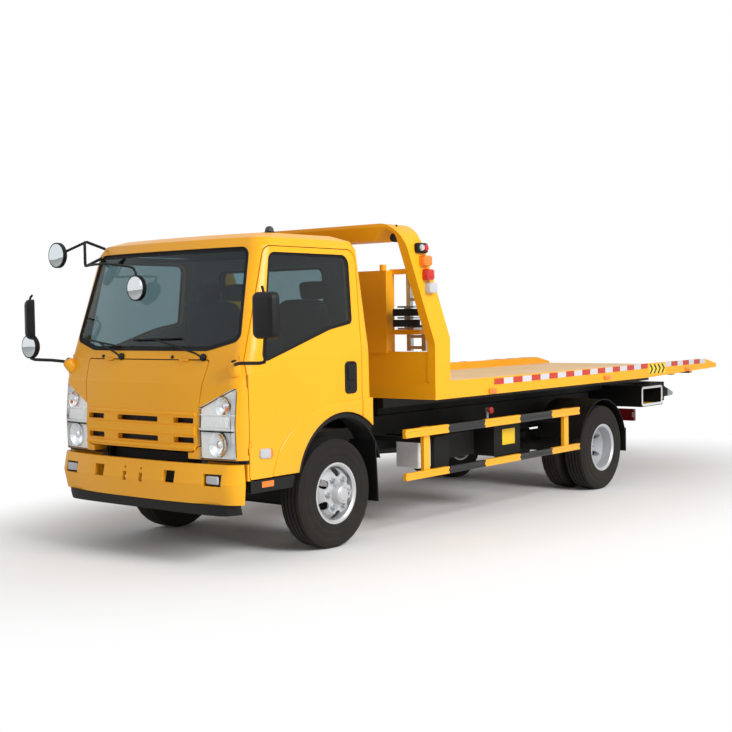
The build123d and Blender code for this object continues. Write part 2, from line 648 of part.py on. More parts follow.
# Tilting frame under the bed
with BuildPart() as tilt_frame:
    for side in (1, -1):
        block(-1100, -4960, side * 370, side * 450, TILT_BOTTOM, TILT_TOP)
        block(TILT_PIVOT_X - 50, TILT_PIVOT_X + 50, side * 300, side * 330, 790, 960)
        block(BOOM_PIVOT_X - 60, BOOM_PIVOT_X + 40, side * 135, side * 160, 810, 960)
    for x in (-1200, -2100, -3000, -3900, TILT_PIVOT_X - 40, -4950):
        block(x, x + 80, -369.95, 369.95, 920, 1010)
    rod((TILT_PIVOT_X, -340, TILT_PIVOT_Z), (TILT_PIVOT_X, 340, TILT_PIVOT_Z), 30.06, Mode.SUBTRACT)
    rod((BOOM_PIVOT_X, -160, BOOM_PIVOT_Z), (BOOM_PIVOT_X, 160, BOOM_PIVOT_Z), 18)
save(tilt_frame, "tilt_frame")

# Bed
BED_SIDE = (
    (BED_FRONT, BED_BOTTOM), (-4700, BED_BOTTOM + 5), (BED_TAIL, 1082), (BED_TAIL, 1124), (-6114, 1182),
    (-1400, BED_RAIL_TOP), (BED_FRONT, BED_RAIL_TOP),
)
with BuildPart() as bed_frame:
    for side in (1, -1):
        side_prism(BED_SIDE, min(side * BED_HALF, side * (BED_HALF - BED_RAIL_W)), max(side * BED_HALF, side * (BED_HALF - BED_RAIL_W)))
        block(-1070, -5900, side * 470, side * 530, 946, BED_BOTTOM - 0.05)
    block(BED_FRONT, -1082.95, -BED_INNER, BED_INNER, BED_BOTTOM, 1165)
    block(BED_TAIL + 70, BED_TAIL + 130, -BED_INNER, BED_INNER, 1066, 1085)
    for i in range(11):
        x = -1500 - i * 440
        block(x, x + 60, -BED_INNER, BED_INNER, BED_BOTTOM, 1085)
save(bed_frame, "bed_frame")

with BuildPart() as bed_deck:
    block(-1083, WINCH_PLATE_END, -(BED_HALF - BED_RAIL_W), BED_HALF - BED_RAIL_W, 1085, DECK_TOP)
    block(WINCH_PLATE_END - 0.05, BED_TAIL + 4, -(BED_HALF - BED_RAIL_W), BED_HALF - BED_RAIL_W, 1085, DECK_TOP)
save(bed_deck, "bed_deck")

# Headboard arch seen from the front and from the side
ARCH_OUT = ((-1110, 1100), (-1110, 2410), (1110, 2410), (1110, 1100))
ARCH_IN = ((-1034, 1000), (-1034, 2330), (-930, 2384), (-820, 2282), (820, 2282), (930, 2384), (1034, 2330), (1034, 1000))
ARCH_IN_RADII = (0, 60, 50, 60, 60, 50, 60, 0)
ARCH_SIDE = (
    (BED_FRONT, BED_RAIL_TOP), (BED_FRONT, 1478), (-580, 2385), (-580, 2420), (-850, 2420), (-850, 2290), (-1208, 1520),
    (-1208, BED_RAIL_TOP),
)
ARCH_SPLIT = 2200


def arch_form():
    front_prism(ARCH_OUT, -1400, -400, (0, 210, 210, 0))
    front_prism(ARCH_IN, -1400, -400, ARCH_IN_RADII, Mode.SUBTRACT)
    side_prism(ARCH_SIDE, -1200, 1200, 0, Mode.INTERSECT)


with BuildPart() as headboard_posts:
    arch_form()
    block(-1400, -400, -1200, 1200, ARCH_SPLIT, 2500, mode=Mode.SUBTRACT)
save(headboard_posts, "headboard_posts")

with BuildPart() as headboard_top:
    arch_form()
    block(-1400, -400, -1200, 1200, 1000, ARCH_SPLIT, mode=Mode.SUBTRACT)
save(headboard_top, "headboard_top")

with BuildPart() as headboard_panel:
    block(-1010, -1050, -1033.9, 1033.9, 1165, 1414)
    block(-1000, -1110, 130, 630, 1400, 2070)
    rod((-1055, 560, 2068), (-1055, 560, 2120), 28)
    for z in (1550, 2040):
        block(-1085, -1165, 620, 900, z, z + 40)
        block(-1085, -1110, 600, 640, z, z + 40)
save(headboard_panel, "headboard_panel")

DOLLY_X = -1045
with BuildPart() as dolly_frames:
    for y in (730, 880):
        block(-1165, -1205, y - 20, y + 20, 1415, 2090)
    for z in (1430, 1520, 1600, 1820, 1940, 2060):
        block(-1170, -1200, 740, 870, z, z + 25)
    rod((DOLLY_X, 800, 1592), (DOLLY_X, 800, 1780), 16)
    for z in (1592, 1678, 1766):
        block(DOLLY_X + 20, -1185, 725, 885, z, z + 14)
save(dolly_frames, "dolly_frames")

with BuildPart() as dolly_tyres:
    for z in (1613, 1699):
        with Locations((at(DOLLY_X), 800, z + 29)):
            Cylinder(110, 58)
            Cylinder(16.05, 60, mode=Mode.SUBTRACT)
save(dolly_tyres, "dolly_tyres")

# Lamps on the arch: x, z, width, height
ARCH_LAMPS = ((-872, 2219, 60, 110), (-846, 2123, 90, 90), (-886, 2031, 90, 90), (-934, 1930, 90, 90))
with BuildPart() as arch_lamps:
    for side in (1, -1):
        for x, z, wide, high in ARCH_LAMPS:
            block(x - wide / 2, x + wide / 2, side * BED_HALF, side * (BED_HALF + 18), z - high / 2, z + high / 2)
        rod((-720, side * 992, 2300), (-640, side * 992, 2300), 34)
        rod((-680, side * 992, 2300), (-680, side * 992, 2400), 8)
    add(headboard_top.part, mode=Mode.SUBTRACT)
save(arch_lamps, "arch_lamps")

with BuildPart() as winch:
    rod((-1300, -230, 1220), (-1300, 230, 1220), 70)
    for y in (-230, 215):
        block(-1200, -1400, y, y + 15, DECK_TOP, 1310)
    rod((-1300, 230, 1220), (-1300, 400, 1220), 55)
    block(-1200, -1400, -245, 245, DECK_TOP, DECK_TOP + 12)
save(winch, "winch")

# Underlift carried by the tilting frame
with BuildPart() as underlift_boom:
    for side in (1, -1):
        block(-4830, -4990, side * 100, side * 128, 790, 876)
        block(-5011, -5511, side * 880, side * 118, 709, 928)
        block(-5025, -5497, side * 890, side * 500, 723, 914, mode=Mode.SUBTRACT)
    block(-4985, -5480, -128, 128, 700, 876)
    block(-5000, -5500, -96, 96, 730, 846, mode=Mode.SUBTRACT)
    rod((BOOM_PIVOT_X, -150, BOOM_PIVOT_Z), (BOOM_PIVOT_X, 150, BOOM_PIVOT_Z), 18.06, Mode.SUBTRACT)
save(underlift_boom, "underlift_boom")

with BuildPart() as underlift_head:
    block(-5010, -5560, -88, 88, 730.06, 838)
    block(-5540, -5930, -700, 700, 720, 930)
    for side in (1, -1):
        rod((-5735, side * 560, 700), (-5735, side * 560, 960), 30, Mode.SUBTRACT)
        side_prism(((-5900, 760), (-6160, 770), (-6175, 800), (-5900, 900)), min(side * 420, side * 690), max(side * 420, side * 690))
save(underlift_head, "underlift_head")
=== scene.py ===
import math

import bmesh
import bpy
from bpy.props import FloatProperty, FloatVectorProperty, IntProperty, PointerProperty
from mathutils import Matrix, Vector
from mathutils.bvhtree import BVHTree


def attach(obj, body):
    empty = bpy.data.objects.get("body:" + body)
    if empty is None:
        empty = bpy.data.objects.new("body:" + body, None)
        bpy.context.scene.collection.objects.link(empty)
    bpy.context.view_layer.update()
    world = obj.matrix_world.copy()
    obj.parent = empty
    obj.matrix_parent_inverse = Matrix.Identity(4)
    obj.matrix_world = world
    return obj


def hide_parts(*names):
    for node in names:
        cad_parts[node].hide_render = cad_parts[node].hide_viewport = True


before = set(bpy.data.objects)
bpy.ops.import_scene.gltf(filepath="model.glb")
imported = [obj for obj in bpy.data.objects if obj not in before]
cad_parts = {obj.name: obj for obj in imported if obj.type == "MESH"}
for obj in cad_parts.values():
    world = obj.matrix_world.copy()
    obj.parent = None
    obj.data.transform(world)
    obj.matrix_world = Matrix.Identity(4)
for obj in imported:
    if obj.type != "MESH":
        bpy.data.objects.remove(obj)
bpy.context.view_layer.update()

bl_info = {
    "name": "Flatbed Recovery Truck",
    "version": (1, 0, 0),
    "blender": (4, 5, 0),
    "location": "View3D > Sidebar > Truck",
    "description": "Dresses the packed flatbed recovery truck: finishes, lamps, tyres, trim and stage",
    "category": "Object",
}

# Places are written in millimetres from the front axle: x forward, y to the left, z up from the ground.
MM = 0.001
FRONT_AXLE_X = 2624.0
FRONT = FRONT_AXLE_X * MM
SIDES = (("left", 1), ("right", -1))

# Wheels
WHEELBASE = 3815.0
TYRE_R = 405.0
FRONT_WHEEL_Y = 824.0
TWIN_OUTER_Y = 962.0
TWIN_SPACING = 266.0

# Cab outlines: (y, z) from the front and the back, (x, z) from the side
WINDSCREEN = ((-610, 1480), (610, 1480), (868, 1548), (790, 2192), (-790, 2192), (-868, 1548))
WINDSCREEN_RADII = (260, 260, 60, 70, 70, 60)
DOOR_WINDOW = ((800, 1392), (640, 2152), (-200, 2152), (-182, 1655), (72, 1612))
DOOR_WINDOW_RADII = (40, 60, 70, 40, 500)
REAR_WINDOW = ((-560, 1660), (560, 1660), (560, 2080), (-560, 2080))
HEADLAMP = ((596, 742), (596, 1088), (884, 1226), (908, 1226), (908, 742))
HEADLAMP_RADII = (12, 12, 12, 10, 12)
SILL_Z = 1475.0
CAB_BACK_X = -398.0
CAB_BACK_LEAN = 0.0731
DOOR_SEAM_X = -275.0
DOOR_SEAM_GAP = 5.0
DOOR_SKIN_Y = 956.0

# Front wheel arch: its centre and radius, and how far down and back its flare reaches
ARCH_X, ARCH_Z, ARCH_R = -60.0, 480.0, 520.0
FLARE_FOOT_Z = 607.0
FLARE_BACK_X = -396.0
FLARE_FRONT_X = 712.0

# Slots of the front panel and the bars over, between and under them: low and high, or right and left
GRILLE_ROWS = ((982, 1020), (846, 886))
GRILLE_SLOTS = ((-216, 216), (-560, -372), (372, 560))
GRILLE_BARS = ((1034, 1060), (900, 968), (800, 834))
GRILLE_HALF = 578.0

# Bed
BED_HALF = 1110.0
# Lamps on the headboard arch: finish, x, z, width, height, depth
ARCH_LAMPS = (
    ("moulded_black", -819, 2221, 140, 78, 34),
    ("amber_lens", -863, 2124, 112, 82, 52),
    ("red_lens", -896, 2017, 100, 88, 52),
    ("white_lens", -931, 1915, 108, 84, 52),
)

# Seats: name, right edge, left edge, head rest places
SEATS = (
    ("driver", 280, 780, (530,)),
    ("bench", -780, -120, (-600, -280)),
)

FINISH = {}


def linear(code, alpha=1.0):
    """sRGB hex colour as linear red, green, blue, alpha."""
    parts = [int(code[i:i + 2], 16) / 255 for i in (1, 3, 5)]
    return tuple(c / 12.92 if c <= 0.04045 else ((c + 0.055) / 1.055) ** 2.4 for c in parts) + (alpha,)


def spot(x, y, z):
    """Point in the row frame, in metres."""
    return Vector(((x + FRONT_AXLE_X) * MM, y * MM, z * MM))


def length(name, description, default):
    """Size that a user may change, in metres."""
    return FloatProperty(name=name, description=description, default=default, unit="LENGTH")


def colour(name, description, code):
    """Colour that a user may change."""
    return FloatVectorProperty(
        name=name, description=description, subtype="COLOR", size=4, default=linear(code))


class TruckSizes(bpy.types.PropertyGroup):
    tread_steps: IntProperty(name="Tread steps", description="Facets round each tyre", default=112, min=24)
    groove_depth: length("Groove depth", "Depth of the tread grooves", 0.011)
    nut_radius: length("Nut radius", "Half width of a wheel nut", 0.0185)
    nut_circle: length("Nut circle", "Radius of the wheel nut circle", 0.1111)
    tape_pitch: length("Tape pitch", "Length of one red or white block", 0.150)
    tape_height: length("Tape height", "Height of the reflective tape", 0.050)
    seal_width: length("Seal width", "Width of the window rubber", 0.018)


class TruckColours(bpy.types.PropertyGroup):
    paint: colour("Paint", "Cab and bed enamel", "#F8AE12")
    deck: colour("Deck", "Dusty deck plate", "#F0C68A")
    tape_red: colour("Tape red", "Red reflective tape", "#C8331A")
    tape_white: colour("Tape white", "White reflective tape", "#D2D2D6")
    amber: colour("Amber", "Turn and marker lenses", "#F07C14")
    red: colour("Red", "Rear lenses", "#C01A12")


# Finishes

# Colour sockets of the mix node
MIX_A, MIX_B, MIX_RESULT = 6, 7, 2
# Stretches of the cloud noise that bring in the second tone and spread the gloss
PATCH_FROM, PATCH_TO = 0.35, 0.7
GLOSS_FROM, GLOSS_TO = 0.3, 0.7
ROAD_DUST = "#9C8B74"
DUST_FULL_Z = 0.15
COAT_ROUGHNESS = 0.08
BUMP_STRENGTH = 0.5
# Black for painted shade under the deck, over the bumper and behind the side guards, and for the black body
# of the tail lamps
PAINTED_SHADE_AND_LAMP_BLACK = "#0C0D0E"


def add_node(tree, kind, settings=None, inputs=None):
    """Adds a node, sets its settings and links or sets its inputs."""
    made = tree.nodes.new(kind)
    for name, value in (settings or {}).items():
        setattr(made, name, value)
    for name, value in (inputs or {}).items():
        if isinstance(value, bpy.types.NodeSocket):
            tree.links.new(value, made.inputs[name])
        else:
            made.inputs[name].default_value = value
    return made


def as_linear(tone):
    """Hex colour or a linear one, as linear."""
    return linear(tone) if isinstance(tone, str) else tuple(tone)


def surface(name, tone, patch, roughness, patch_mm=350.0, patch_share=0.5, grain=None, dust=None,
            rough_spread=0.06, metallic=0.0, coat=0.0, transmission=0.0, ior=None, shine=0.5, glow=0.0):
    """Finish with patches of a second tone, a grain (width, depth in mm) and low dust (share, top in m)."""
    material = bpy.data.materials.new(name)
    material.use_nodes = True
    tree = material.node_tree
    shader = tree.nodes["Principled BSDF"]
    where = add_node(tree, "ShaderNodeTexCoord").outputs["Object"]
    cloud = add_node(tree, "ShaderNodeTexNoise", None, {
        "Vector": where, "Scale": 1000.0 / patch_mm, "Detail": 4.0}).outputs["Fac"]
    share = add_node(tree, "ShaderNodeMapRange", None, {
        "Value": cloud, "From Min": PATCH_FROM, "From Max": PATCH_TO, "To Max": patch_share})
    blend = add_node(tree, "ShaderNodeMix", {"data_type": "RGBA"}, {
        "Factor": share.outputs["Result"], MIX_A: as_linear(tone), MIX_B: as_linear(patch)})
    shown = blend.outputs[MIX_RESULT]
    if dust:
        amount, top = dust
        height = add_node(tree, "ShaderNodeSeparateXYZ", None, {"Vector": where}).outputs["Z"]
        low = add_node(tree, "ShaderNodeMapRange", None, {
            "Value": height, "From Min": top, "From Max": DUST_FULL_Z, "To Max": amount}).outputs["Result"]
        film = add_node(tree, "ShaderNodeMath", {"operation": "MULTIPLY"}, {0: low, 1: cloud}).outputs[0]
        shown = add_node(tree, "ShaderNodeMix", {"data_type": "RGBA"}, {
            "Factor": film, MIX_A: shown, MIX_B: linear(ROAD_DUST)}).outputs[MIX_RESULT]
    tree.links.new(shown, shader.inputs["Base Color"])
    gloss = add_node(tree, "ShaderNodeMapRange", None, {
        "Value": cloud, "From Min": GLOSS_FROM, "From Max": GLOSS_TO,
        "To Min": max(roughness - rough_spread, 0.0), "To Max": min(roughness + rough_spread, 1.0)})
    tree.links.new(gloss.outputs["Result"], shader.inputs["Roughness"])
    if grain:
        width, depth = grain
        grit = add_node(tree, "ShaderNodeTexNoise", None, {
            "Vector": where, "Scale": 1000.0 / width, "Detail": 2.0}).outputs["Fac"]
        bump = add_node(tree, "ShaderNodeBump", None, {
            "Height": grit, "Strength": BUMP_STRENGTH, "Distance": depth * MM})
        tree.links.new(bump.outputs["Normal"], shader.inputs["Normal"])
    sockets = {
        "Metallic": metallic, "Specular IOR Level": shine, "Coat Weight": coat,
        "Coat Roughness": COAT_ROUGHNESS, "Transmission Weight": transmission}
    if ior:
        sockets["IOR"] = ior
    if glow:
        sockets["Emission Color"] = as_linear(tone)
        sockets["Emission Strength"] = glow
    for socket, value in sockets.items():
        shader.inputs[socket].default_value = value
    FINISH[name] = material
    return material


def limit(edge, along=0.0, wide=0.0, up=0.0, rise=0.0):
    """Limit of a shaded place: the weights of x, |y|, z and height over the sill, and the edge in metres."""
    return (along, wide, up), rise, edge


def shade_where(name, second, limits):
    """Gives a finish a second colour where the weighted places are under the edge of every limit."""
    tree = FINISH[name].node_tree
    shader = tree.nodes["Principled BSDF"]
    where = add_node(tree, "ShaderNodeTexCoord").outputs["Object"]
    x, y, z = add_node(tree, "ShaderNodeSeparateXYZ", None, {"Vector": where}).outputs
    wide = add_node(tree, "ShaderNodeMath", {"operation": "ABSOLUTE"}, {0: y}).outputs[0]
    folded = add_node(tree, "ShaderNodeCombineXYZ", None, {"X": x, "Y": wide, "Z": z}).outputs[0]
    over = add_node(tree, "ShaderNodeMath", {"operation": "SUBTRACT"}, {0: z, 1: SILL_Z * MM}).outputs[0]
    over = add_node(tree, "ShaderNodeMath", {"operation": "MAXIMUM"}, {0: over, 1: 0.0}).outputs[0]
    inside = None
    for weights, rise, edge in limits:
        flat = add_node(tree, "ShaderNodeVectorMath", {"operation": "DOT_PRODUCT"}, {
            0: folded, 1: weights}).outputs["Value"]
        level = add_node(tree, "ShaderNodeMath", {"operation": "MULTIPLY_ADD"}, {
            0: over, 1: rise, 2: flat}).outputs[0]
        passed = add_node(tree, "ShaderNodeMath", {"operation": "LESS_THAN"}, {0: level, 1: edge}).outputs[0]
        if inside is not None:
            passed = add_node(tree, "ShaderNodeMath", {"operation": "MULTIPLY"}, {
                0: inside, 1: passed}).outputs[0]
        inside = passed
    was = shader.inputs["Base Color"].links[0].from_socket
    pick = add_node(tree, "ShaderNodeMix", {"data_type": "RGBA"}, {
        "Factor": inside, MIX_A: was, MIX_B: as_linear(second)})
    tree.links.new(pick.outputs[MIX_RESULT], shader.inputs["Base Color"])


def stripe_along(name, edges_mm, first, second):
    """Gloss enamel that changes colour at each edge along the truck."""
    tree = surface(name, first, first, 0.42, coat=0.2, grain=(6, 0.1)).node_tree
    shader = tree.nodes["Principled BSDF"]
    where = add_node(tree, "ShaderNodeTexCoord").outputs["Object"]
    along = add_node(tree, "ShaderNodeSeparateXYZ", None, {"Vector": where}).outputs["X"]
    total = None
    for edge in edges_mm:
        passed = add_node(tree, "ShaderNodeMath", {"operation": "GREATER_THAN"}, {
            0: along, 1: (edge + FRONT_AXLE_X) * MM}).outputs[0]
        if total is not None:
            passed = add_node(tree, "ShaderNodeMath", {"operation": "ADD"}, {0: total, 1: passed}).outputs[0]
        total = passed
    odd = add_node(tree, "ShaderNodeMath", {"operation": "MODULO"}, {0: total, 1: 2.0}).outputs[0]
    pick = add_node(tree, "ShaderNodeMix", {"data_type": "RGBA"}, {
        "Factor": odd, MIX_A: as_linear(first), MIX_B: as_linear(second)})
    tree.links.new(pick.outputs[MIX_RESULT], shader.inputs["Base Color"])


def make_paints(paint):
    # Sprayed two-pack enamel: glossy amber yellow with faint orange peel
    surface("cab_enamel", paint, "#F2A40C", 0.34, 900, grain=(5, 0.03), dust=(0.10, 1.1),
            coat=0.06, shine=0.35)
    # Grey lining inside the cab: within the sides, ahead of the back, behind the front and under the roof
    shade_where("cab_enamel", "#6E7275", (
        limit(0.9065, wide=1, rise=0.0897), limit(0.346 - FRONT, along=-1, rise=CAB_BACK_LEAN),
        limit(FRONT + 0.958, along=1, rise=0.292), limit(FRONT + 1.0186, along=1, wide=0.13, rise=0.304),
        limit(FRONT + 1.755, along=1, wide=1, rise=0.43), limit(2.246, up=1)))
    # Painted shade: a black band on the lower edge of the cab front over the bumper, standing in for the
    # shadowed gap there
    shade_where("cab_enamel", PAINTED_SHADE_AND_LAMP_BLACK, (
        limit(-FRONT - 0.932, along=-1), limit(0.741, up=1), limit(-0.7125, up=-1)))
    # The same enamel on welded plate: duller, with more orange peel. Under the deck it is drawn black:
    # painted shade
    surface("bed_enamel", paint, "#F0A310", 0.42, 600, grain=(8, 0.06), dust=(0.12, 1.3),
            coat=0.04, shine=0.35)
    shade_where("bed_enamel", PAINTED_SHADE_AND_LAMP_BLACK, (
        limit(1.0425, wide=1), limit(FRONT - 1.09, along=1), limit(1.0848, up=1)))
    shade_where("bed_enamel", PAINTED_SHADE_AND_LAMP_BLACK, (limit(1.0, wide=1), limit(1.0345, up=1)))
    # Yellow and black enamel on the side guards; inboard of their faces it is drawn black, as painted shade
    # behind the guards
    stripe_along("guard_stripes", (-3313, -2800, -2259, -1711, -1186), "#0A0B0C", paint)
    shade_where("guard_stripes", PAINTED_SHADE_AND_LAMP_BLACK, (limit(1.035, wide=1),))


def make_blacks():
    # Air-dried chassis black: satin, a little dust low down
    surface("chassis_black", "#060707", "#0A0B0B", 0.6, grain=(4, 0.1), dust=(0.03, 0.8), shine=0.25)
    # Cast iron under black paint: rough and grey
    surface("sooty_casting", "#161617", "#211F1D", 0.68, 90, grain=(3, 0.4), dust=(0.10, 1.1))
    # Moulded polypropylene: fine leather-like grain, dull black
    surface("moulded_black", "#090A0B", "#0E0F10", 0.5, grain=(1.6, 0.1), dust=(0.02, 1.1), shine=0.25)
    # EPDM rubber seal: soft black with little gloss
    surface("seal_rubber", "#0B0C0E", "#121416", 0.6, grain=(2, 0.05), shine=0.2)
    # Tyre rubber: charcoal with brown road film on the tread and walls
    surface("tyre_rubber", "#141312", "#1F1B18", 0.8, 140, 0.7, (2.5, 0.2), (0.06, 0.9), shine=0.25)


def make_metals(deck):
    # Wheel silver: aluminium flake paint on pressed steel
    surface("wheel_silver", "#C9CBCE", "#B2B4B8", 0.36, 160, grain=(1.5, 0.03), dust=(0.15, 1.1),
            metallic=0.5)
    # Zinc plated steel: bright grey with blotchy passivation
    surface("zinc_plate", "#BCC0C3", "#989DA1", 0.36, 40, grain=(2, 0.03), metallic=0.85)
    # Wire rope: greased steel strands
    surface("wire_rope", "#5F6163", "#434547", 0.45, 8, grain=(2, 0.6), metallic=0.8)
    # Deck plate: rolled steel under tan dust, in broad patches
    surface("deck_plate", deck, "#DFAC68", 0.55, 700, grain=(14, 0.3))


def make_glass():
    # Laminated glass: grey green with a blue green shade band at the top of the windscreen
    surface("screen_glass", "#98B2BA", "#93AEB6", 0.02, rough_spread=0.01, transmission=1.0, ior=1.36)
    shade_where("screen_glass", "#5F8A96", (limit(-2.105, up=-1), limit(-FRONT, along=-1)))
    # Tempered side glass: darker grey
    surface("side_glass", "#98A5A4", "#94A1A0", 0.02, rough_spread=0.01, transmission=1.0, ior=1.33)
    # Polycarbonate lens: water clear
    surface("clear_lens", "#F6F8F9", "#F0F4F5", 0.03, rough_spread=0.02, transmission=1.0, ior=1.18)
    # Silvered mirror glass: a sharp reflection
    surface("mirror_glass", "#DDE3E6", "#D2D9DD", 0.03, rough_spread=0.01, metallic=1.0)


def make_lenses(amber, red):
    # Vacuum-metallised reflector and the pale satin housing round it; the housing glows a little, as painted
    # light in place of the light that the lens keeps from it
    surface("bright_reflector", "#EEF0F2", "#DDE1E4", 0.14, 60, metallic=1.0)
    surface("satin_housing", "#DFE0DF", "#D6D8D7", 0.3, 60, coat=0.3, glow=0.22)
    # Acrylic lenses, moulded with fine prisms drawn at 4 mm so that they show
    prisms = (4, 0.25)
    surface("amber_lens", amber, "#E26D0E", 0.18, 30, grain=prisms, coat=0.4, glow=0.04)
    for name in ("red_lens", "tail_lens"):
        surface(name, red, "#9E120D", 0.18, 30, grain=prisms, coat=0.4, glow=0.08)
    for name in ("white_lens", "turn_lens"):
        surface(name, "#BCBEC0", "#A9ACAE", 0.2, 30, grain=prisms, coat=0.4)
    # Black body of the tail lamps, and the amber end of the side turn lamps
    shade_where("tail_lens", PAINTED_SHADE_AND_LAMP_BLACK, (limit(4.634 - FRONT, along=-1),))
    shade_where("turn_lens", amber, (limit(FRONT + 0.742, along=1),))


def make_tapes(red, white):
    # Microprismatic tape: bright with a faint honeycomb shimmer
    surface("tape_red", red, "#B02A14", 0.35, 14, grain=(4, 0.05), coat=0.15)
    surface("tape_white", white, "#BFC0C5", 0.35, 14, grain=(4, 0.05), coat=0.15)
    # Printed vinyl of the arrow panels
    surface("chevron_yellow", "#FFD928", "#F3CB20", 0.35, 14, coat=0.15)
    surface("chevron_black", "#14150F", "#1C1D16", 0.45, 30)


def make_small_finishes():
    # Grained dashboard plastic and woven seat cloth, its weave drawn at 2.2 mm so that it shows
    surface("dash_grey", "#3C3F43", "#323539", 0.6, grain=(1.5, 0.2))
    surface("seat_cloth", "#2A2D33", "#212429", 0.9, 25, grain=(2.2, 0.5))
    # Enamelled blank plate, white polyethylene can and red phenolic knob
    surface("plate_yellow", "#F0C814", "#E5B915", 0.45, 80)
    surface("can_white", "#DCDFE2", "#CFD3D6", 0.4, 120, dust=(0.15, 1.1))
    surface("valve_red", "#A81C16", "#901611", 0.35, 40)


NODE_FINISH = {
    "chassis_black": (
        "chassis_frame", "leaf_springs", "side_boxes", "tilt_frame", "underlift_boom", "underlift_head",
        "winch", "fuel_tank", "tie_rod", "knuckle_left", "knuckle_right", "front_axle"),
    "sooty_casting": ("driveline", "engine_block"),
    "cab_enamel": (
        "cab_roof", "cab_back", "cab_floor", "cab_front", "front_panel", "door_left", "door_right",
        "bumper"),
    "bed_enamel": ("bed_frame", "headboard_posts", "headboard_top", "headboard_panel"),
    "moulded_black": ("cab_steps", "mudguards", "arch_liners", "steering_wheel"),
    "dash_grey": ("dashboard",),
    "guard_stripes": ("side_guards",),
    "deck_plate": ("bed_deck",),
    "wheel_silver": ("front_rim_left", "front_rim_right", "rear_rims_left", "rear_rims_right"),
    "screen_glass": ("cab_glass",),
    "side_glass": ("door_glass_left", "door_glass_right"),
    "clear_lens": ("headlamps", "fog_lamps"),
    "tail_lens": ("tail_lamps",),
    "zinc_plate": ("dolly_frames",),
    "tyre_rubber": ("dolly_tyres",),
}


# Shapes

def add_block(bm, x, y, z, bevel=0.0, segments=2):
    """Block between pairs of limits in millimetres, with rounded edges."""
    made = bmesh.ops.create_cube(bm, size=1.0)
    low = spot(min(x), min(y), min(z))
    high = spot(max(x), max(y), max(z))
    size = high - low
    centre = (low + high) / 2
    for vert in made["verts"]:
        vert.co = vert.co * size + centre
    if bevel:
        edges = {edge for vert in made["verts"] for edge in vert.link_edges}
        bmesh.ops.bevel(
            bm, geom=list(edges), offset=bevel * MM, segments=segments, profile=0.5, affect="EDGES")


def add_rings(bm, rings, close_along=False):
    """Skin over rings of points, with end caps or, if asked, closed from the last ring to the first."""
    rows = [[bm.verts.new(p) for p in ring] for ring in rings]
    count = len(rows[0])
    pairs = list(zip(rows, rows[1:]))
    if close_along:
        pairs.append((rows[-1], rows[0]))
    for a, b in pairs:
        for i in range(count):
            j = (i + 1) % count
            bm.faces.new((a[i], a[j], b[j], b[i]))
    if not close_along:
        bm.faces.new(list(reversed(rows[0])))
        bm.faces.new(rows[-1])


def ring_points(centre, u, v, radius_mm, count):
    """Points round a centre in the plane of u and v."""
    turns = [2 * math.pi * i / count for i in range(count)]
    return [centre + (u * math.cos(a) + v * math.sin(a)) * radius_mm * MM for a in turns]


# Radius that a turned form keeps where its profile meets the axis
SMALLEST_R = 0.01


def add_turned(bm, profile, place, direction, steps=32):
    """Form turned about a line. Profile pairs are (distance along, radius) in millimetres."""
    w = Vector(direction).normalized()
    u = w.orthogonal().normalized()
    v = w.cross(u)
    add_rings(bm, [ring_points(place + w * along * MM, u, v, max(radius, SMALLEST_R), steps)
                   for along, radius in profile])


def add_tube(bm, points, radius, sides=10):
    """Round bar through points in the row frame, radius in millimetres."""
    rings = []
    u = None
    for i, point in enumerate(points):
        w = (points[min(i + 1, len(points) - 1)] - points[max(i - 1, 0)]).normalized()
        if u is None:
            u = w.orthogonal().normalized()
        u = (u - w * u.dot(w)).normalized()
        rings.append(ring_points(point, u, w.cross(u), radius, sides))
    add_rings(bm, rings)


def add_prism(bm, outline, run):
    """Plate from a closed outline of row-frame points, run along a vector in millimetres."""
    step = Vector(run) * MM
    add_rings(bm, [outline, [p + step for p in outline]])


def rectangle(width, height):
    """Corners of a centred rectangle."""
    a, b = width / 2, height / 2
    return (-a, -b), (a, -b), (a, b), (-a, b)


def rounded(points, radii, arc_steps=6):
    """Outline with its corners rounded, by one radius or by one for each corner."""
    if not isinstance(radii, tuple):
        radii = (radii,) * len(points)
    out = []
    for i, point in enumerate(points):
        radius = radii[i]
        if radius < 1:
            out.append(point)
            continue
        here = Vector(point)
        back = (Vector(points[i - 1]) - here).normalized()
        ahead = (Vector(points[(i + 1) % len(points)]) - here).normalized()
        half = back.angle(ahead) / 2
        reach = radius / math.tan(half)
        centre = here + (back + ahead).normalized() * (radius / math.sin(half))
        start = here + back * reach - centre
        end = here + ahead * reach - centre
        turn = start.angle_signed(end)
        for k in range(arc_steps + 1):
            a = -turn * k / arc_steps
            out.append((centre.x + start.x * math.cos(a) - start.y * math.sin(a),
                        centre.y + start.x * math.sin(a) + start.y * math.cos(a)))
    return out


def divided(points, longest):
    """Outline with long sides divided."""
    out = []
    for i, here in enumerate(points):
        ahead = points[(i + 1) % len(points)]
        count = max(1, math.ceil(math.dist(here, ahead) / longest))
        for k in range(count):
            t = k / count
            out.append((here[0] + (ahead[0] - here[0]) * t, here[1] + (ahead[1] - here[1]) * t))
    return out


def drawn_in(points, amount):
    """Closed outline moved inward, or outward where the amount is negative."""
    area = sum(a[0] * b[1] - b[0] * a[1] for a, b in zip(points, points[1:] + points[:1]))
    sign = 1 if area > 0 else -1
    out = []
    for i, point in enumerate(points):
        before = Vector(point) - Vector(points[i - 1])
        after = Vector(points[(i + 1) % len(points)]) - Vector(point)
        way = (before.normalized() + after.normalized()).normalized()
        out.append((point[0] - way.y * amount * sign, point[1] + way.x * amount * sign))
    return out


